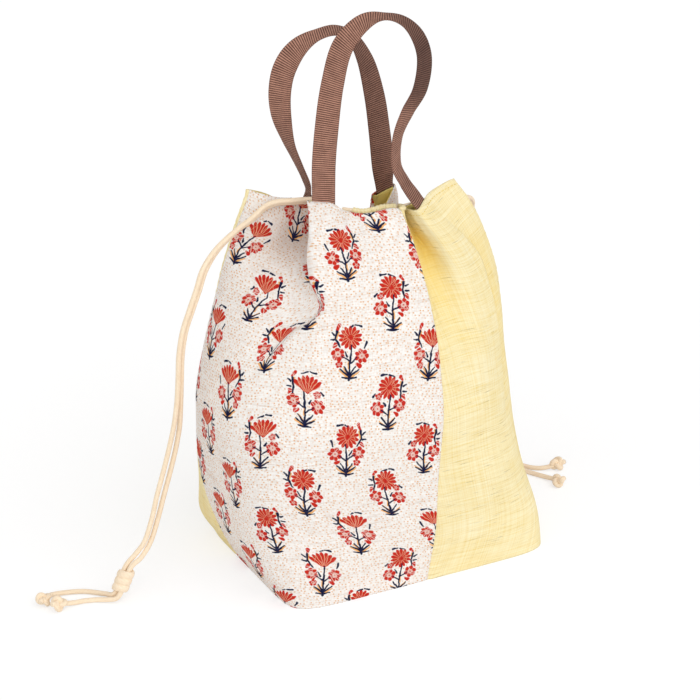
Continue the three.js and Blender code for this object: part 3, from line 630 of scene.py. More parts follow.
# one sprig in its own cell: distances to strokes and blooms, in millimetres
class Sprig:
    def __init__(self, tree, x, y, other):
        self.tree = tree
        self.place = vector(tree, x, y)
        self.other = other      # 1 in cells that show the second form

    # vector maths on points
    def op(self, name, *values, out=0):
        return addNode(self.tree, "ShaderNodeVectorMath", dict(operation=name), values, out)

    # a point that may lie elsewhere in the second form
    def point(self, first, second):
        if second is None or first == second:
            return (*first, 0)
        return vector(self.tree, *(a if a == b else self.other * (b - a) + a for a, b in zip(first, second)))

    # distance to a straight stroke that thins towards its end
    def stroke(self, start, end, wide, startTwo=None, endTwo=None):
        a, b = self.point(start, startTwo), self.point(end, endTwo)
        away = self.op("SUBTRACT", self.place, a)
        if isinstance(a, Sock) or isinstance(b, Sock):
            way = self.op("SUBTRACT", b, a)
            far = self.op("DOT_PRODUCT", way, way, out=1)
        else:
            way = tuple(q - p for p, q in zip(a, b))
            far = sum(w * w for w in way)
        share = self.op("DOT_PRODUCT", away, way, out=1).math("DIVIDE", far, clamp=True)
        near = addNode(self.tree, "ShaderNodeVectorMath", dict(operation="SCALE"), {0: way, "Scale": share})
        return self.op("DISTANCE", away, near, out=1) - (share * (-sprigSet["strokeThin"] * wide) + wide)

    # nearest of several strokes
    def strokes(self, rows):
        nearest = self.stroke(*rows[0])
        for row in rows[1:]:
            nearest = nearest.min(self.stroke(*row))
        return nearest

    # way across, way up and distance from a centre
    def wayFrom(self, centre, centreTwo):
        away = self.op("SUBTRACT", self.place, self.point(centre, centreTwo))
        x = addNode(self.tree, "ShaderNodeSeparateXYZ", None, [away])
        return x, x.also(1), self.op("LENGTH", away, out=1)

    # round bloom, petals round a centre: edge distance, how far a spot lies from a line between petals, reach
    def bloom(self, centre, radius, petals, centreTwo=None, turn=0.0):
        x, y, reach = self.wayFrom(centre, centreTwo)
        petal = abs((y.math("ARCTAN2", x) * (petals / 2) + turn).sin())
        swell, least = sprigSet["bloomPetal"]
        edge = reach - (petal * (swell * radius) + least * radius)
        return edge, petal * reach * (2 / petals), reach

    # fan bloom: petals spread upwards from a foot, like a half-open flower
    def fan(self, foot, radius, petals, spread):
        x, y, reach = self.wayFrom(foot, None)
        bearing = x.math("ARCTAN2", y)
        petal = abs((bearing * (petals / 2 * math.pi / spread) + math.pi / 2 * (petals % 2)).sin())
        swell, least = sprigSet["fanPetal"]
        edge = reach - (petal * (swell * radius) + least * radius)
        side = (abs(bearing) - spread) * 6
        return edge.max(side), petal * reach * (2 * spread / math.pi / petals), reach


def printMaterial():
    k = sprigSet
    material, tree, shader = newMaterial("print cotton", Specular_IOR_Level=0.05)
    s, t = clothPlace(tree)
    up = s.max(k["leanFrom"]) * k["lean"] + (s - k["leanFrom"]).min(0) * k["leanLeft"] + t
    flat = vector(tree, s, up)
    # hand-printed wobble of the pattern
    sockets = {"Vector": flat, "Scale": k["wobbleScale"], "Detail": 1.5}
    shift = addNode(tree, "ShaderNodeTexNoise", None, sockets, out="Color")
    wobble = addNode(tree, "ShaderNodeSeparateColor", None, [shift])
    sx = (wobble - 0.5) * k["wobble"] + s
    sy = (wobble.also(1) - 0.5) * k["wobble"] + up
    # half-drop cells; three draws of luck choose the body, the head and the hand of each sprig
    column = ((sx - k["first"]) / k["column"] + 0.5).floor()
    x = sx - k["first"] - column * k["column"]
    odd = abs(column).math("MODULO", 2)
    dropped = odd * (k["row"] / 2) + sy - k["foot"]
    line = (dropped / k["row"] + 0.5).floor()
    y = dropped - line * k["row"]
    luck = cellLuck(column, line, *k["sprigLuck"])
    rosette = (luck * 5.17).fract() > 0.55
    mirror = ((luck * 7.31).fract() > 0.5) * 2 - 1
    g = Sprig(tree, x * mirror, y, luck > 0.5)
    navy = g.strokes(k["navyStrokes"])
    tan = g.strokes(k["tanStrokes"])
    # red: the head is a fan or a rosette; round blooms and buds sit on the branches
    heads = zip(g.fan(*k["fanHead"]), g.bloom(*k["roseHead"]))
    head, headLine, headReach = (a + (b - a) * rosette for a, b in heads)
    red = head.min(g.strokes(k["budStrokes"]))
    # unprinted lines between petals and unprinted hearts
    widen, most = k["headVein"]
    veins = (headLine - (headReach * widen).min(most)).max(k["headHeart"] - headReach)
    for shape, heart in k["blooms"]:
        edge, part, reach = g.bloom(*shape)
        red = red.min(edge)
        veins = veins.min((part - k["bloomVein"]).max(heart * 0.5 - reach))
        veins = veins.min((reach - heart).max(k["bloomDot"] - reach))
    redMask = 1 - red.step(*k["inkEdge"])
    veinMask = 1 - veins.step(*k["veinEdge"])
    navyMask = 1 - navy.step(*k["navyEdge"])
    tanMask = 1 - tan.step(*k["inkEdge"])
    patchy = noise(tree, flat, 0.55, 3.0, 0.65)
    thin = noise(tree, vector(tree, s * 0.9, up * 2.4), 1.0, 1.0)
    # pin dots in staggered rows, each a little out of place, some faint; none close to a sprig
    lineUp = up / k["dotUp"]
    rowIndex = lineUp.floor()
    lineAcross = s / k["dotAcross"] + rowIndex.math("MODULO", 2) * 0.5
    chance = cellLuck(rowIndex, lineAcross.floor(), *k["dotLuck"])
    chanceTwo = (chance * 31.7).fract()
    dx = ((lineAcross.fract() - 0.5) + (chance - 0.5) * k["dotJitter"][0]) * k["dotAcross"]
    dy = ((lineUp.fract() - 0.5) + (chanceTwo - 0.5) * k["dotJitter"][1]) * k["dotUp"]
    dotGap = (dx * dx * 0.7 + dy * dy).sqrt()
    clear = red.min(navy).min(tan).step(*k["dotClear"])
    dots = (1 - dotGap.step(*k["dotSize"])) * (chanceTwo.step(*k["dotFaint"]) * 0.72 + 0.2) * clear
    # ground: cream thread with warmer and thinner places both ways, a few tan threads along the weft
    fineWeft = slubs(s, up, 9.0, 0.6, 0.35, 0.7, 7.7)
    fineWarp = slubs(s, up, 0.6, 9.0, 0.35, 0.7, 4.2)
    weft = slubs(s, t, 46.0, 0.6, 0.6, 0.72, 3.1)
    cloudy = noise(tree, flat, 0.045, 2.0)
    fineWeave = weave(s, up, k["weavePitch"])
    tone = fineWeft * 0.44 + fineWarp * 0.4 + cloudy * 0.08 + fineWeave * 0.07
    ground = mixColour(tree, tone, k["cream"], k["warm"])
    ground = mixColour(tree, weft * 0.62, ground, k["thread"])
    ground = mixColour(tree, dots, ground, k["dot"])
    # painted shade: the ground and the red ink turn darker and warmer where the fold attribute marks the pleats and the
    # left ear
    deep = paintedShade(tree)
    ground = mixColour(tree, deep * 0.45, ground, k["shade"])
    worn = (patchy * 0.5 + thin * 0.5).step(0.3, 0.5)
    ink = worn * 0.12 + 0.88
    coloured = mixColour(tree, tanMask * ink, ground, k["tan"])
    redTone = mixColour(tree, patchy.step(0.45, 0.66) * 0.75, k["red"], k["coral"])
    redTone = mixColour(tree, deep * 0.6, redTone, k["redInShade"])
    gapTone = mixColour(tree, (head < 0.3) * 0.45 + patchy * 0.4, ground, k["tan"])
    coloured = mixColour(tree, redMask * ink, coloured, redTone)
    coloured = mixColour(tree, redMask * veinMask * 0.7, coloured, gapTone)
    coloured = mixColour(tree, navyMask * (worn * 0.1 + 0.9), coloured, k["navy"])
    height = fineWeave * 0.5 + weft * 0.6 + fineWeft * 0.7 + fineWarp * 0.7
    plugIn(tree, shader, Base_Color=coloured, Normal=bumpFrom(tree, height, 0.5, 0.0003), Roughness=weft * 0.04 + 0.9)
    return material


yellowSet = dict(pale=(254, 245, 210), deep=(240, 214, 134), streak=(138, 112, 58), knot=(210, 180, 92),
                 paintedGold=(242, 208, 92), weavePitch=0.95)


def yellowMaterial():
    k = yellowSet
    material, tree, shader = newMaterial("yellow cotton", Specular_IOR_Level=0.25)
    s, t = clothPlace(tree)
    thickWeft = slubs(s, t, 30.0, 1.0, 0.35, 0.75, 1.7)
    fineWeft = slubs(s, t, 60.0, 0.45, 0.35, 0.7, 5.9)
    fineWarp = slubs(s, t, 0.55, 70.0, 0.35, 0.7, 2.3)
    dark = slubs(s, t, 22.0, 0.75, 0.715, 0.775, 9.1)
    knots = slubs(s, t, 26.0, 0.7, 0.6, 0.75, 4.4)
    cloudy = noise(tree, vector(tree, s, t), 0.03, 2.0)
    fineWeave = weave(s, t, k["weavePitch"])
    tone = thickWeft * 0.28 + fineWeft * 0.3 + fineWarp * 0.34 + cloudy.step(0.3, 0.75) * 0.15 + fineWeave * 0.08
    ground = mixColour(tree, tone, k["pale"], k["deep"])
    ground = mixColour(tree, knots * 0.45, ground, k["knot"])
    ground = mixColour(tree, dark * 0.75, ground, k["streak"])
    # painted shade as deeper gold in the pleats, beside the front seam and behind the crease, and painted warm floor
    # light at the back's foot
    ground = mixColour(tree, paintedShade(tree) * 0.9, ground, k["paintedGold"])
    height = fineWeave * 0.4 + thickWeft * 0.9 + fineWarp * 0.5 + fineWeft * 0.4
    rough = thickWeft * 0.06 + 0.84
    plugIn(tree, shader, Base_Color=ground, Normal=bumpFrom(tree, height, 0.55, 0.0003), Roughness=rough)
    return material


liningFinish = dict(pale=(252, 236, 160), deep=(238, 212, 122), edge=(247, 226, 138), edgeSpan=(-3.1, -2.5),
                    weavePitch=0.7)


def liningMaterial():
    k = liningFinish
    material, tree, shader = newMaterial("lining cotton", Roughness=0.9)
    s, t = clothPlace(tree)
    fineWeave = weave(s, t, k["weavePitch"])
    cloudy = noise(tree, vector(tree, s, t), 0.08, 3.0)
    tone = cloudy * 0.7 + slubs(s, t, 20.0, 0.6, 0.5, 0.8, 6.2) * 0.35 + fineWeave * 0.08
    colour = mixColour(tree, tone, k["pale"], k["deep"])
    colour = mixColour(tree, t.step(*k["edgeSpan"]), colour, k["edge"])      # even fold along the hem
    plugIn(tree, shader, Base_Color=colour, Normal=bumpFrom(tree, fineWeave + tone, 0.35, 0.0002))
    return material


strapSet = dict(
    wide=20.0, thick=1.6, ribPitch=1.9, ribHigh=0.2, rowsPerRib=6, inset=2.2, tailDeep=0.03, settle=24.0,
    # across the webbing: place and thickness as shares of the halves
    places=(-1, -0.965, -0.86, -0.45, 0, 0.45, 0.86, 0.965, 1), swell=(0.12, 0.62, 0.92, 1, 1, 1, 0.92, 0.62, 0.12),
    ribShare=0.9, edgeRib=0.35, footRows=30, bendSpan=(-3, 20), warpPitch=0.62, edgeSpan=(9.1, 9.6),
    grooveShade=(72, 43, 34), rib=(203, 150, 128), thread=(122, 80, 66), edge=(112, 74, 62), shade=(50, 26, 20))


def webbingMaterial():
    k = strapSet
    material, tree, shader = newMaterial("brown webbing", Specular_IOR_Level=0.35)
    s, t = clothPlace(tree)
    rib = (t * (fullTurn / k["ribPitch"])).cos()
    warp = (s * (fullTurn / k["warpPitch"])).sin()
    tone = noise(tree, vector(tree, s, t), 0.12, 3.0)
    threads = slubs(s, t, 0.5, 14.0, 0.35, 0.7, 3.3)
    # painted shade in the grooves between the ribs and painted light on the rib crests
    colour = mixColour(tree, rib * 0.5 + 0.5 + (tone - 0.5) * 0.5, k["grooveShade"], k["rib"])
    colour = mixColour(tree, threads * 0.25, colour, k["thread"])
    colour = mixColour(tree, abs(s).step(*k["edgeSpan"]) * 0.35, colour, k["edge"])
    # painted shade along the handles, from the fold attribute
    colour = mixColour(tree, paintedShade(tree) * 0.76, colour, k["shade"])
    height = warp * (rib * 0.5 + 0.5) + tone * 0.4
    rough = rib * -0.06 + 0.74
    plugIn(tree, shader, Base_Color=colour, Normal=bumpFrom(tree, height, 0.35, 0.00025), Roughness=rough)
    return material


cordSet = dict(diameter=4.5, sides=14, step=1.6, lean=(0, 0.86, 0.51), lay=3.4, strands=3,
               pale=(253, 237, 212), deep=(238, 208, 170))


def cordMaterial():
    k = cordSet
    material, tree, shader = newMaterial("beige cord", Sheen_Weight=0.25)
    s, t = clothPlace(tree)
    twist = ((t / k["lay"] + s / (math.pi * k["diameter"]) * k["strands"]) * fullTurn).sin()
    fine = slubs(s + t * 0.35, t, 0.35, 9.0, 0.35, 0.7, 1.1)
    tone = noise(tree, vector(tree, s, t), 0.09, 3.0)
    colour = mixColour(tree, tone * 0.6 + fine * 0.3 + twist * 0.05, k["pale"], k["deep"])
    rough = fine * 0.1 + 0.58
    plugIn(tree, shader, Base_Color=colour, Normal=bumpFrom(tree, twist * 0.35 + fine, 0.3, 0.0002), Roughness=rough)
    return material


def threadMaterial(name, light, dark):
    material, tree, shader = newMaterial(name)
    tone = noise(tree, addNode(tree, "ShaderNodeTexCoord", out=3), 900.0, 2.0)
    plugIn(tree, shader, Base_Color=mixColour(tree, tone, light, dark), Roughness=tone * 0.2 + 0.5)
    return material


printCotton = printMaterial()
yellowCotton = yellowMaterial()
liningCotton = liningMaterial()
brownWebbing = webbingMaterial()
beigeCord = cordMaterial()
yellowThread = threadMaterial("yellow thread", (246, 222, 118), (218, 184, 84))
creamThread = threadMaterial("cream thread", (250, 240, 224), (224, 206, 186))
finishOf = dict(print_cotton=printCotton, yellow_cotton=yellowCotton)
print("materials done")

# free cords, each from the mouth through its wrapped knot to its end knot: the CAD routes, apart from the
# stretch beside the mouth, where the strands lie up to 4 mm off them on the left and 13 mm on the right
cordRoutes = dict(
    left=dict(
        strandA=[(-22, 43.8, 316.6), (-34, 45.2, 318.5), (-48, 46.8, 319.7), (-60, 48.5, 320.4),
                 (-70, 50.5, 320.8), (-80, 51.5, 318.8), (-96, 47, 311.5), (-109, 43, 307.5), (-131.5, 35, 296.5),
                 (-145.5, 29.2, 282.9), (-153.5, 26.2, 265.9), (-161.5, 23.2, 250), (-168.5, 21.2, 234),
                 (-173.5, 19.2, 213), (-175.5, 18.2, 191), (-177, 18, 168), (-179.5, 16.5, 146),
                 (-184.5, 14, 127), (-191, 12, 107), (-199, 9, 86), (-206.5, 6, 66), (-216, 2, 46),
                 (-226.5, -2.5, 36), (-236.9, -4.3, 29.9)],
        strandB=[(-22, 43.2, 321.6), (-35.5, 42, 321.9), (-49.5, 43.6, 323.1), (-61.5, 45.3, 323.7),
                 (-71.5, 47.2, 324.1), (-81.6, 48.2, 322), (-98, 43.5, 314.5), (-111.5, 38.5, 310.4),
                 (-135, 30.8, 299.4), (-149.5, 26.3, 285.2), (-157.5, 23.3, 268.2), (-165.5, 20.3, 252),
                 (-172.5, 18.3, 236), (-177.5, 16.3, 215), (-179.5, 15.3, 193), (-181.5, 15.3, 170),
                 (-185.5, 14, 149), (-191, 13, 129), (-198, 11, 108), (-206, 8, 87), (-213, 5, 66), (-222, 2, 47),
                 (-231, 1.5, 37.4), (-239.8, 0.1, 30)],
        tailA=[(-253.4, -3.6, 6.4), (-259, 3.8, 3.6), (-266, 11.2, 2.5), (-275, 17.2, 2.5), (-286, 21, 2.5),
               (-297, 22.6, 3), (-304.6, 20.6, 4.4)],
        tailB=[(-252.4, -9.6, 6), (-259.5, -5.4, 3.4), (-268, -0.4, 2.5), (-279, 2.8, 2.5), (-287, 3.2, 2.8),
               (-294.2, 2.7, 4.4)],
        wrap=[(-239, -2.5, 28.8), (-250.5, -6.5, 8.2)],
        knotA=[(-305.6, 20, 5.6), (-316, 10.6, 5.6)], knotB=[(-295, 2.6, 5.6), (-308, 1.8, 5.6)]),
    right=dict(
        strandA=[(39, 35.5, 297), (47, 35, 298), (56, 33.5, 298.8),
                 (68, 30.5, 298.6), (80, 27.5, 297.4), (90, 27, 296), (98, 30, 292), (105, 36, 286),
                 (111, 45, 275), (116, 55, 258), (119, 63, 235), (121, 68, 208), (122, 70, 180),
                 (122.5, 71, 150), (123, 71.5, 120), (124, 72, 92), (124.8, 71.5, 66), (126, 71, 43),
                 (128.8, 69.8, 24.5), (133.3, 67.3, 14.5), (139.8, 63.4, 10.7)],
        strandB=[(39, 35.5, 302), (47, 35, 303), (56, 33.8, 303.8),
                 (68, 31, 303.6), (81, 28.5, 303.4), (95, 29, 303.4), (105.5, 33, 300), (112.5, 39.5, 292),
                 (116.5, 49, 278.5), (120, 59, 259), (122.5, 67, 236), (124.5, 72, 208), (125.5, 74, 180),
                 (126, 75, 150), (126.5, 75.5, 120), (127.5, 76, 92), (128.3, 76, 66), (129.5, 75.5, 44),
                 (132.3, 74.2, 26), (136.4, 71.8, 15), (142.6, 67.6, 10.7)],
        tailA=[(167.2, 52.2, 6.9), (172, 47, 4), (180, 38, 2.5), (189, 31.5, 2.5), (198, 28, 4)],
        tailB=[(164.6, 47.4, 6.9), (168.5, 41.5, 4), (175, 31, 2.5), (183.5, 18.5, 2.5), (189.8, 6.8, 4)],
        wrap=[(142, 65, 10.5), (164.5, 50.5, 7.4)],
        knotA=[(198.5, 27.8, 5.6), (211, 26, 5.6)], knotB=[(190, 6.3, 5.6), (192.6, -6, 5.6)]))


# circle carried along a line; cloth coordinates run round it and along it
def cordPiece(name, route):
    radius = cordSet["diameter"] / 2
    line, run = evenLine(route, cordSet["step"])
    angle = circleAngles(cordSet["sides"])
    rings = tubeRings(line, *lineFrame(line, cordSet["lean"]), radius, angle)
    return ringPiece(name, rings, pairUp(angle[None, :] * radius, run[:, None])), line


# three turns of flattened cord round the two strands: an ellipse carried along a helix
wrapSet = dict(turns=3.15, wide=3.4, thick=1.7, roundPair=6.1, acrossPair=4.5, rowsPerTurn=44, sides=16,
               firstAngle=0.6, endRoom=2.4, endTuck=0.5, tuckShare=0.05, flatness=0.8, uvWide=3)


def wrapPiece(name, top, foot, pair):
    w = wrapSet
    top, foot, pair = (np.asarray(v, dtype=float) for v in (top, foot, pair))
    axis = unit(foot - top)
    one = unit(pair - axis * (pair @ axis))
    two = np.cross(axis, one)
    t = np.linspace(0, 1, int(w["turns"] * w["rowsPerTurn"]))[:, None]
    angle = fullTurn * w["turns"] * t + w["firstAngle"]
    tuck = 1 - w["endTuck"] * (bell(t, w["tuckShare"]) + bell(1 - t, w["tuckShare"]))
    rise = w["endRoom"] + t * (np.linalg.norm(foot - top) - 2 * w["endRoom"])
    line = top + axis * rise + tuck * (one * np.cos(angle) * w["roundPair"] + two * np.sin(angle) * w["acrossPair"])
    away = unit(one * np.cos(angle) * w["acrossPair"] + two * np.sin(angle) * w["roundPair"])
    over = unit(np.cross(away, unit(np.gradient(line, axis=0))))
    phi = circleAngles(w["sides"])
    flat = np.sign(np.cos(phi)) * np.abs(np.cos(phi)) ** w["flatness"]
    rings = (line[:, None] + w["thick"] * flat[:, None] * away[:, None]
             - w["wide"] * np.sin(phi)[:, None] * over[:, None])
    return ringPiece(name, rings[:, ::-1], pairUp(phi[None, :] * w["uvWide"], runLength(line[:, None], 0)))


# overhand knot: a tube along a trefoil line, with the cord's cut end standing out of it
knotSet = dict(size=1.75, depth=2.0, radius=2.4, rows=120, sides=12, face=(-0.25, -0.62, 0.74), lift=0.1, entry=0.3,
               stub=6.5, stubStart=4, stubWay=(0.8, 0.6), stubLean=0.3, stubTaper=(1, 1, 1, 1, 0.95, 0.8))


def knotPiece(name, top, foot):
    k = knotSet
    top, foot, face = (np.asarray(v, dtype=float) for v in (top, foot, k["face"]))
    along = unit(foot - top)
    normal = unit(face - along * np.dot(face, along))
    aside = np.cross(normal, along)
    t = circleAngles(k["rows"])
    flat = np.stack([np.sin(t) + 2 * np.sin(2 * t), np.cos(t) - 2 * np.cos(2 * t), -np.sin(3 * t)], axis=1)
    line = ((top + foot) / 2 + k["size"] * (flat[:, :1] * aside + flat[:, 1:2] * along)
            + k["depth"] * flat[:, 2:] * normal)
    ahead = unit(np.roll(line, -1, axis=0) - np.roll(line, 1, axis=0))
    out = unit(np.cross(ahead, normal))
    phi = circleAngles(k["sides"])
    rings = tubeRings(line, out, np.cross(ahead, out), k["radius"], phi)
    taper = np.array(k["stubTaper"])[:, None, None]
    stubRows = len(taper)
    way = along * k["stubWay"][0] + normal * k["stubWay"][1]
    stubLine = foot - along * k["stubStart"] + np.linspace(0, 1, stubRows)[:, None] * way * k["stub"]
    stub = tubeRings(stubLine, *lineFrame(stubLine, normal + k["stubLean"] * aside), k["radius"] * taper, phi)
    size = k["rows"] * k["sides"]
    ring = np.arange(k["sides"])[None, :]
    faces = [gridFaces(k["rows"], k["sides"], True, True), gridFaces(stubRows, k["sides"], roundColumns=True) + size,
             ring + size + (stubRows - 1) * k["sides"], ring[:, ::-1] + size]
    points = np.concatenate([rings.reshape(-1, 3), stub.reshape(-1, 3)])
    points[:, 2] += k["lift"] - points[:, 2].min()
    uv = pairUp(phi[None, :] * k["radius"], runLength(line[:, None], 0)).reshape(-1, 2)
    return meshPiece(name, points, faces, np.concatenate([uv, uv[:stubRows * k["sides"]]]))


# the cord's line runs a little way into its end knot
def knotEntry(knot):
    top, foot = (np.array(k, dtype=float) for k in knot)
    return [tuple(top + (foot - top) * knotSet["entry"])]


for side, r in cordRoutes.items():
    body = side + "_cord"
    pair = np.array(r["strandB"][-1]) - np.array(r["strandA"][-1])
    wrap = wrapPiece(side + "_wrap", *r["wrap"], pair)
    dressPiece(wrap, beigeCord, body, [side + "_wrap_knot"])
    ends = {}
    for end in "ab":
        ends[end] = knotPiece(side + "_knot_" + end, *r["knot" + end.upper()])
        dressPiece(ends[end], beigeCord, body, [side + "_end_knot_" + end])
    for strand, tail in ("ab", "ba"):
        tailEnd = tail.upper()
        route = r["strand" + strand.upper()] + r["tail" + tailEnd] + knotEntry(r["knot" + tailEnd])
        piece, line = cordPiece(side + "_cord_" + strand, route)
        dressPiece(piece, beigeCord, body, [side + "_strand_" + strand, side + "_tail_" + tail])
print("cords done")

panelSet = dict(
    print_cloth_front=dict(span=(0, 1), columns=230, middle=0.62, node="print_panel_front", slot="print_cotton"),
    yellow_cloth_front=dict(span=(1, 2), columns=150, middle=1.5, node="yellow_panel_front", slot="yellow_cotton"),
    print_cloth_back=dict(span=(2, 3), columns=230, middle=2.6, node="print_panel_back", slot="print_cotton"),
    yellow_cloth_back=dict(span=(3, 4), columns=150, middle=3.5, node="yellow_panel_back", slot="yellow_cotton"))
panelRows = 200
panels = {}
grids = {}
for name, p in panelSet.items():
    outer, out, cloth, bulge, fold = panelGrid(name, *p["span"], p["columns"], panelRows, p["middle"])
    inner = outer - out * clothSet["thick"]
    inner[0, :, 2] = outer[0, :, 2]
    grids[name] = (outer, out, bulge)
    panels[name] = shellPiece(name, outer, inner, cloth, fold=fold)
    dressPiece(panels[name], finishOf[p["slot"]], "bag", [p["node"]])
print("panels done")


# webbing handles: a flat ribbed section carried along its route, both ends sewn in behind the hem
strapRoutes = dict(
    front_strap=dict(
        feet=(0.585, 1.60), body="front_handle", bend=((-41.51, 18.79, 334.63), (31.26, -18.54, 336.03)),
        # share of the run, and how much shade is painted on the webbing there
        shade=((0, 0.47, 0.53, 0.6, 0.69, 0.745, 0.86, 0.9, 1), (0, 0, 0.7, 1, 0.9, 0.15, 0.12, 0.4, 0.4)),
        # x, y, rise above the hem height, and the direction across the webbing
        route=[(-42, 17, 34, 0.89, -0.46, 0), (-40, 16, 65, 0.85, -0.53, 0), (-35, 14, 108, 0.68, -0.73, 0.05),
               (-27, 10, 142, 0.50, -0.85, -0.15), (-12, 4, 161, 0.10, -0.97, -0.22), (3, -4, 167, -0.32, -0.94, 0.05),
               (17, -10, 163, -0.58, -0.81, 0), (28, -15, 150, -0.82, -0.56, 0.05), (33, -18, 132, -0.86, -0.43, 0.26),
               (30, -17, 104, -0.80, -0.40, 0.45), (21, -13, 84, -0.72, -0.48, 0.50), (14, -9, 61, -0.68, -0.60, 0.42),
               (13.5, -8.5, 36, -0.70, -0.58, 0.40), (20, -11, 20, -0.76, -0.52, 0.35)]),
    back_strap=dict(
        feet=(2.90, 2.57), body="back_handle", bend=((31.43, 46.96, 324.31), (-30.73, 62.61, 306.73)),
        shade=((0, 0.12, 0.22, 0.3, 0.36, 0.5, 0.55, 0.6, 0.8, 1), (0.42, 0.42, 0.2, 0, 0, 0, 0.42, 0.64, 0.52, 0.46)),
        route=[(-34.4, 64.6, -13, -0.2, -0.97, 0.1), (-36.4, 66, 0, -0.05, -0.99, 0.1),
               (-43, 68.5, 18, 0.03, -0.99, 0.1), (-50.5, 71.5, 38, 0.18, -0.97, 0.15),
               (-56, 73, 62, 0.60, -0.79, 0.12), (-57, 73, 84, 0.76, -0.65, 0.08), (-53, 72, 104, 0.80, -0.60, 0),
               (-43, 69, 121, 0.55, -0.83, 0.05), (-28, 63, 133, 0.15, -0.98, 0.05), (-12, 58, 137, -0.28, -0.95, -0.1),
               (0, 54, 131, -0.66, -0.75, 0), (11, 50, 111, -0.88, -0.38, 0.25),
               (19, 47, 78, -0.96, -0.12, 0.25), (24, 46.5, 43, -0.96, 0.02, 0.2), (27.5, 47, 14, -0.95, 0.16, -0.05)]))


# hem places at given distances along from u
def hemPlaces(u, distances):
    near = u + np.linspace(-0.3, 0.3, 1201)
    run = lineRun(hemPoint(near))
    return np.interp(np.asarray(distances) + run[len(near) // 2], run, near)


# sheet of points a depth below the bag's outer face
def layerPoints(u, row, depth):
    step = 0.004
    u, row = np.broadcast_arrays(u, row)
    across = bagSurface(u + step, row) - bagSurface(u - step, row)
    up = bagSurface(u, np.clip(row + step, 0, 1)) - bagSurface(u, np.clip(row - step, 0, 1))
    return bagSurface(u, row) - unit(np.cross(across, up)) * depth


def strapPiece(name, s):
    k = strapSet
    offsets = np.array(k["places"]) * k["wide"] / 2
    half = np.array(k["swell"]) * k["thick"] / 2
    route = np.array(s["route"], dtype=float)
    feet = []
    for u, across in zip(s["feet"], route[[0, -1], 3:]):
        hemWay = hemPoint(np.array(u + 0.01)) - hemPoint(np.array(u - 0.01))
        columns = hemPlaces(u, offsets * (1 if hemWay @ across > 0 else -1))
        rows = np.linspace(1 - k["tailDeep"], 1, k["footRows"])
        feet.append(layerPoints(columns[None, :], rows[:, None], k["inset"]))
    hemFeet = [f[-1] for f in feet]
    centre = len(offsets) // 2
    loop = np.concatenate([[hemFeet[0][centre]], route[:, :3] + [0, 0, bagSet["height"]], [hemFeet[1][centre]]])
    line, run = evenLine(loop, k["ribPitch"] / k["rowsPerRib"])
    knots, at, fine, reach = routeCurve(loop, 4000)
    ends = [unit(h[-1] - h[0]) for h in hemFeet]
    ways = np.concatenate([[ends[0]], route[:, 3:], [ends[1]]])
    turn = smoothThrough(knots, ways, np.interp(run, reach, at))
    ahead = unit(np.gradient(line, axis=0))
    across = unit(turn - ahead * (turn * ahead).sum(axis=1, keepdims=True))
    middle = line[:, None] + across[:, None] * offsets[:, None]
    for h, gone, end in ((hemFeet[0], run, 0), (hemFeet[1], run[-1] - run, -1)):
        curved = h[None] + (line - line[end])[:, None]
        blend = ease(gone / k["settle"])[:, None, None]
        middle = curved * (1 - blend) + middle * blend
    middle = np.concatenate([feet[0][:-1], middle, feet[1][-2::-1]])
    along = runLength(middle[:, centre:centre + 1], 0)
    faceWay = unit(np.cross(unit(np.gradient(middle, axis=0)), unit(np.gradient(middle, axis=1))))
    ribbed = k["ribHigh"] * np.cos(along * fullTurn / k["ribPitch"])
    inner = (half > 0.8 * k["thick"] / 2)[None, :]
    swell = half[None, :] + np.where(inner, ribbed, k["edgeRib"] * ribbed) * k["ribShare"]
    front = middle + faceWay * swell[..., None]
    rear = middle - faceWay * swell[..., None]
    rings = np.concatenate([front, rear[:, ::-1]], axis=1)
    uvFront = pairUp(offsets[None, :], along)
    uv = np.concatenate([uvFront, uvFront[:, ::-1]], axis=1)
    # painted shade along the run, carried in the fold attribute
    shade = np.interp(along / along[-1], *s["shade"]) + np.zeros(rings.shape[:2])
    piece = ringPiece(name, rings[:, ::-1], uv[:, ::-1], shade)
    piece.data.materials.append(brownWebbing)
    hinge, other = (np.array(p) for p in s["bend"])
    axis = unit(other - hinge)
    rise = unit(np.array([0, 0, 1.0]) - axis * axis[2])
    start, end = (tuple((hinge + high * rise) * mm) for high in k["bendSpan"])
    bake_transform(piece)
    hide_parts(s["body"] + "_loop", s["body"] + "_tail_left", s["body"] + "_tail_right")
    print(name, "webbing runs", round(float(along[-1, 0]), 1), "mm")


for name, s in strapRoutes.items():
    strapPiece(name, s)
print("straps done")


# lining: a loose sleeve inside the panels that closes on the hem, standing off where a strap is sewn in
liningSet = dict(columns=520, rows=90, thick=0.6, atHem=1.15, overStrap=2.3, slack=3.6, slackPower=14,
                 rowSpan=(0.0085, 0.9985), strapReach=(-14, -10, 10, 14), strapRow=(0.9, 0.04), dipRoom=0.6)


# how far the panels dip below the bag's face, read off their grids at other places
def panelDips(u, row):
    dips = np.zeros((len(row), len(u)))
    level = np.clip(np.rint(row * (panelRows - 1)).astype(int), 0, panelRows - 1)
    for name, p in panelSet.items():
        first, last = p["span"]
        place = np.where((u >= first) & (u < last))[0]
        column = np.rint((u[place] - first) / (last - first) * (p["columns"] - 1)).astype(int)
        dips[:, place] = -grids[name][2][level[:, None], column[None, :]]
    dips = np.maximum(dips, 0)
    wide = np.maximum(dips, np.maximum(np.roll(dips, 1, axis=1), np.roll(dips, -1, axis=1)))
    return np.maximum(wide, np.maximum(np.vstack([wide[:1], wide[:-1]]), np.vstack([wide[1:], wide[-1:]])))


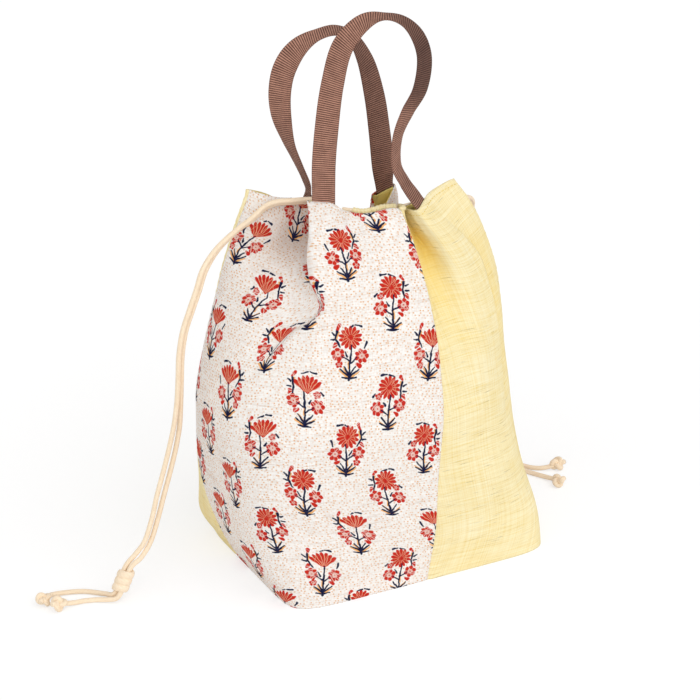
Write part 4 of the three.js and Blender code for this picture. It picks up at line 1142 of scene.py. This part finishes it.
def liningPiece():
    k = liningSet
    u = np.arange(k["columns"]) * 4 / k["columns"]
    row = np.linspace(*k["rowSpan"], k["rows"])
    over = np.zeros_like(u)
    for foot in [f for s in strapRoutes.values() for f in s["feet"]]:
        a, b, c, d = hemPlaces(foot, k["strapReach"])
        over = np.maximum(over, ease((u - a) / (b - a)) * ease((d - u) / (d - c)))
    start, rise = k["strapRow"]
    stand = k["overStrap"] * over[None, :] * ease((row[:, None] - start) / rise)
    depth = k["atHem"] + stand + k["slack"] * (1 - row[:, None] ** k["slackPower"])
    depth = (depth + np.maximum(panelDips(u, row) - k["dipRoom"], 0))[..., None]
    outer = layerPoints(u[None, :], row[:, None], depth)
    inner = layerPoints(u[None, :], row[:, None], depth + k["thick"])
    climb = runLength(outer, 0)
    uv = np.stack([runLength(outer, 1), climb - climb[-1:]], axis=-1)
    piece = shellPiece("lining_sleeve", outer, inner, uv, closedRound=True)
    dressPiece(piece, liningCotton, "bag", ["lining_wall"])


liningPiece()

# base cloths: the outline at the foot drawn in towards the middle, with a shallow sag
baseSet = dict(columns=320, rows=40, middle=(-1.0, -6.0, 0.0), hole=0.02, drop=0.2, sag=0.18, sagWaves=(9, 11))


def basePiece(name, low, thick, inset, material, node):
    k = baseSet
    rows, columns = k["rows"], k["columns"]
    size = rows * columns
    level = low + thick - k["drop"]
    u = np.arange(columns) * 4 / columns
    edge = layerPoints(u, np.zeros_like(u), inset)
    middle = np.array(k["middle"])
    top = middle + (edge[None] - middle) * np.linspace(k["hole"], 1, rows)[:, None, None]
    sag = k["sag"] * np.cos(top[..., 0] / k["sagWaves"][0]) * np.cos(top[..., 1] / k["sagWaves"][1])
    top[..., 2] = level + sag
    under = top.copy()
    under[..., 2] = low
    points = np.concatenate([top.reshape(-1, 3), under.reshape(-1, 3), middle + [[0, 0, level], [0, 0, low]]])
    face = gridFaces(rows, columns, roundColumns=True)
    here = np.arange(columns)
    there = (here + 1) % columns
    rim = np.stack([here + size, there + size, there, here], axis=1) + size - columns
    capTop = np.stack([here, there, np.full(columns, 2 * size)], axis=1)
    capUnder = np.stack([there + size, here + size, np.full(columns, 2 * size + 1)], axis=1)
    piece = meshPiece(name, points, [face[:, ::-1], face + size, rim, capTop, capUnder], points[:, :2])
    dressPiece(piece, material, "bag", [node])
    following = np.roll(edge, -1, axis=0)
    area = abs((edge[:, 0] * following[:, 1] - edge[:, 1] * following[:, 0]).sum()) / 2 * mm * mm


basePiece("base_cloth", 0.0, 1.2, 1.3, yellowCotton, "base_panel")
basePiece("lining_floor", 1.6, 0.8, 2.2, liningCotton, "lining_base")

# ruched casings: a flattened tube just inside the hem, drawn up into folds along the cords
casingSet = dict(drop=5.0, inset=7.2, radius=3.1, lift=2.65, foldPitch=3.3, foldHigh=0.75, step=0.45, sides=28,
                 hollow=0.86, cordEnds=(9, 1), foldMiddle=0.55, drifts=((0.5, 5.1, 0), (0.35, 2.3, 1)),
                 sway=(0.5, 9), uneven=(0.25, 6), stops=5, liftSharp=6, clothRound=4, clothRun=2)
casingSpans = dict(casing_cloth_front=dict(span=(0.745, 0.96), where="front"),
                   casing_cloth_back=dict(span=(2.80, 2.93), where="back"))


# line inside the hem, made longer at its ends where asked
def casingLine(span, spareFirst=0, spareLast=0):
    u = np.linspace(*span, casingSet["stops"])
    hem = hemPoint(u)
    along = hemPoint(u + 0.02) - hemPoint(u - 0.02)
    along[:, 2] = 0
    along = unit(along)
    inward = np.stack([-along[:, 1], along[:, 0], 0 * along[:, 0]], axis=1)
    stops = hem + inward * casingSet["inset"]
    stops[:, 2] = hem[:, 2] - casingSet["drop"]
    first = stops[:1] + unit(stops[:1] - stops[1:2]) * spareFirst
    last = stops[-1:] + unit(stops[-1:] - stops[-2:-1]) * spareLast
    return np.concatenate([first] * (spareFirst > 0) + [stops] + [last] * (spareLast > 0))


# cloth coordinates of ruched cloth: more of it lies in the folds than its run shows
def ruchedPlace(phi, run):
    return pairUp(phi[None, :] * casingSet["clothRound"], run[:, None] * casingSet["clothRun"])


def casingPiece(name, c):
    k = casingSet
    line, run = evenLine(casingLine(c["span"]), k["step"])
    aside, over = lineFrame(line, (0, 0, 1))
    phi = circleAngles(k["sides"])
    far = run[:, None]
    drift = sum(high * np.sin(far / long + phase) for high, long, phase in k["drifts"])
    sway = k["sway"][0] * np.sin(phi + far / k["sway"][1])
    fold = np.abs(np.sin(np.pi * far / k["foldPitch"] + drift + sway))
    share, long = k["uneven"]
    uneven = 1 - share + share * np.sin(2 * phi + far / long)
    radius = k["radius"] + k["foldHigh"] * (fold - k["foldMiddle"]) * uneven
    rise = np.where(np.sin(phi) >= 0, k["lift"], -k["lift"]) * np.minimum(1, k["liftSharp"] * np.abs(np.sin(phi)))
    rings = (line[:, None] + radius[..., None] * np.cos(phi)[:, None] * aside[:, None]
             + (radius * np.sin(phi) + rise)[..., None] * over[:, None])
    inner = line[:, None] + (rings - line[:, None]) * k["hollow"]
    piece = shellPiece(name, rings, inner, ruchedPlace(phi, run), closedRound=True)
    dressPiece(piece, yellowCotton, "bag", ["casing_" + c["where"]])


# gathered edge of the yellow hem beside the front seam, a fold that carries the ruching on
gatherSet = dict(span=(0.985, 1.2), lift=0.2, radius=2.5, pitch=4.2, sides=24, taper=4, leastTaper=0.02,
                 least=0.72, foldHigh=0.42, drift=(0.6, 3.1), sway=0.4)


def gatherPiece():
    k = gatherSet
    line, run = evenLine(hemPoint(np.linspace(*k["span"], 9)) + [0, 0, k["lift"]], casingSet["step"])
    phi = circleAngles(k["sides"])
    far = run[:, None]
    taper = np.sqrt(np.clip(ease(far / k["taper"]) * ease((run[-1] - far) / k["taper"]), k["leastTaper"], 1))
    drift = k["drift"][0] * np.sin(far / k["drift"][1])
    fold = np.abs(np.sin(np.pi * far / k["pitch"] + drift + k["sway"] * np.sin(phi)))
    radius = k["radius"] * taper * (k["least"] + k["foldHigh"] * fold)
    rings = tubeRings(line, *lineFrame(line, (0, 0, 1)), radius[..., None], phi)
    piece = ringPiece("casing_cloth_gather", rings, ruchedPlace(phi, run))
    return dressPiece(piece, yellowCotton, "bag")


gathered = gatherPiece()
for name, c in casingSpans.items():
    casingPiece(name, c)
    where = c["where"]
    run = casingLine(c["span"], *casingSet["cordEnds"])
    for owner, side in (("left", -1), ("right", 1)):
        piece, line = cordPiece(f"{owner}_run_{where}", run + [0, 0, side * casingSet["lift"]])
        dressPiece(piece, beigeCord, "bag", [f"{owner}_cord_run_{where}"])
print("lining, base and casings done")

# topstitching: small rounded dashes along a line below the hem
stitchSet = dict(below=5.6, pitch=3.4, long=2.5, wide=0.34, high=0.3, lift=0.12, rows=7, sides=6, roundness=0.98)


def stitchPiece(name, outer, out):
    k = stitchSet
    below = runLength(outer[::-1], 0)[::-1]
    index = np.clip((below > k["below"]).sum(axis=0) - 1, 0, len(outer) - 2)
    column = np.arange(outer.shape[1])
    high, low = below[index, column], below[index + 1, column]
    share = ((high - k["below"]) / (high - low))[:, None]
    line = outer[index, column] * (1 - share) + outer[index + 1, column] * share
    run = lineRun(line)
    at = np.arange(k["pitch"], run[-1] - k["pitch"], k["pitch"])
    t = np.linspace(-0.5, 0.5, k["rows"])
    place = at[:, None] + t * k["long"]
    pick = lambda values: np.stack([np.interp(place, run, values[:, i]) for i in range(3)], axis=-1)
    middle = pick(line)
    away = unit(pick(out[index, column]))
    aside = np.cross(away, unit(np.gradient(middle, axis=1)))
    bow = np.sqrt(np.clip(1 - (2 * t * k["roundness"]) ** 2, 0, 1))[:, None]
    phi = circleAngles(k["sides"])
    rings = (middle[:, :, None] + (np.cos(phi) * bow * k["wide"])[None, ..., None] * aside[:, :, None]
             + (np.sin(phi) * bow * k["high"] + k["lift"] * bow)[None, ..., None] * away[:, :, None])
    size = k["rows"] * k["sides"]
    shift = (np.arange(len(at)) * size)[:, None, None]
    corner = np.arange(size)[None]
    one = gridFaces(k["rows"], k["sides"], roundColumns=True)[:, ::-1]
    caps = corner[:, :k["sides"]], corner[:, :-k["sides"] - 1:-1]
    faces = [(part[None] + shift).reshape(-1, part.shape[1]) for part in (one, *caps)]
    thread = creamThread if "print" in name else yellowThread
    return dressPiece(meshPiece(name, rings, faces), thread, "bag")


for name, (outer, out, bulge) in grids.items():
    onIt = [stitchPiece(name.replace("cloth", "stitches"), outer, out)] + [gathered] * (name == "yellow_cloth_front")
print("stitches done")

# floor and light: the floor is pale grey to the lamps, lifted to white for the camera so that only the
# shadow shows; lamps by name, direction, power and spread in degrees
stageSet = dict(floorHalf=4000.0, floorTones=(0.86, 0.88), glow=1.245, glowShare=0.48, worldLight=0.54,
                lamps=(("key sun", (-0.34, 0.82, -0.8), 1.4, 80), ("left sun", (0.85, 0.4, -0.5), 0.72, 70)))


# 1 for rays straight from the camera, 0 for light between surfaces
def cameraRay(tree):
    return addNode(tree, "ShaderNodeLightPath")


def floorMaterial():
    material, tree, shader = newMaterial("pale floor", Roughness=0.9)
    grain = noise(tree, addNode(tree, "ShaderNodeTexCoord", out=3), 60.0, 2.0)
    tones = [(tone, tone, tone, 1) for tone in stageSet["floorTones"]]
    plugIn(tree, shader, Base_Color=mixColour(tree, grain, *tones))
    glow = addNode(tree, "ShaderNodeEmission", None, {"Strength": stageSet["glow"]})
    share = cameraRay(tree) * stageSet["glowShare"]
    both = addNode(tree, "ShaderNodeMixShader", None, [share, Sock(tree, shader.outputs[0]), glow])
    tree.links.new(both.out, tree.nodes["Material Output"].inputs["Surface"])
    return material


def makeStage():
    half = stageSet["floorHalf"]
    corners = np.array([[-half, -half, 0], [half, -half, 0], [half, half, 0], [-half, half, 0]])
    floor = meshPiece("floor", corners, [np.array([[0, 1, 2, 3]])], smooth=False)
    floor.data.materials.append(floorMaterial())
    world = bpy.data.worlds.new("studio")
    bpy.context.scene.world = world
    world.use_nodes = True
    sky = world.node_tree.nodes["Background"]
    sky.inputs["Color"].default_value = (1, 1, 1, 1)
    light = stageSet["worldLight"]
    strength = cameraRay(world.node_tree) * (1 - light) + light      # white to the camera
    world.node_tree.links.new(strength.out, sky.inputs["Strength"])
    for name, way, power, spread in stageSet["lamps"]:
        data = bpy.data.lights.new(name, "SUN")
        data.energy = power
        data.angle = math.radians(spread)
        lamp = bpy.data.objects.new(name, data)
        lamp.location = [-3 * w for w in way]
        lamp.rotation_euler = lookAlong(way)
        bpy.context.collection.objects.link(lamp)


makeStage()
bpy.context.scene.view_settings.view_transform = "Standard"
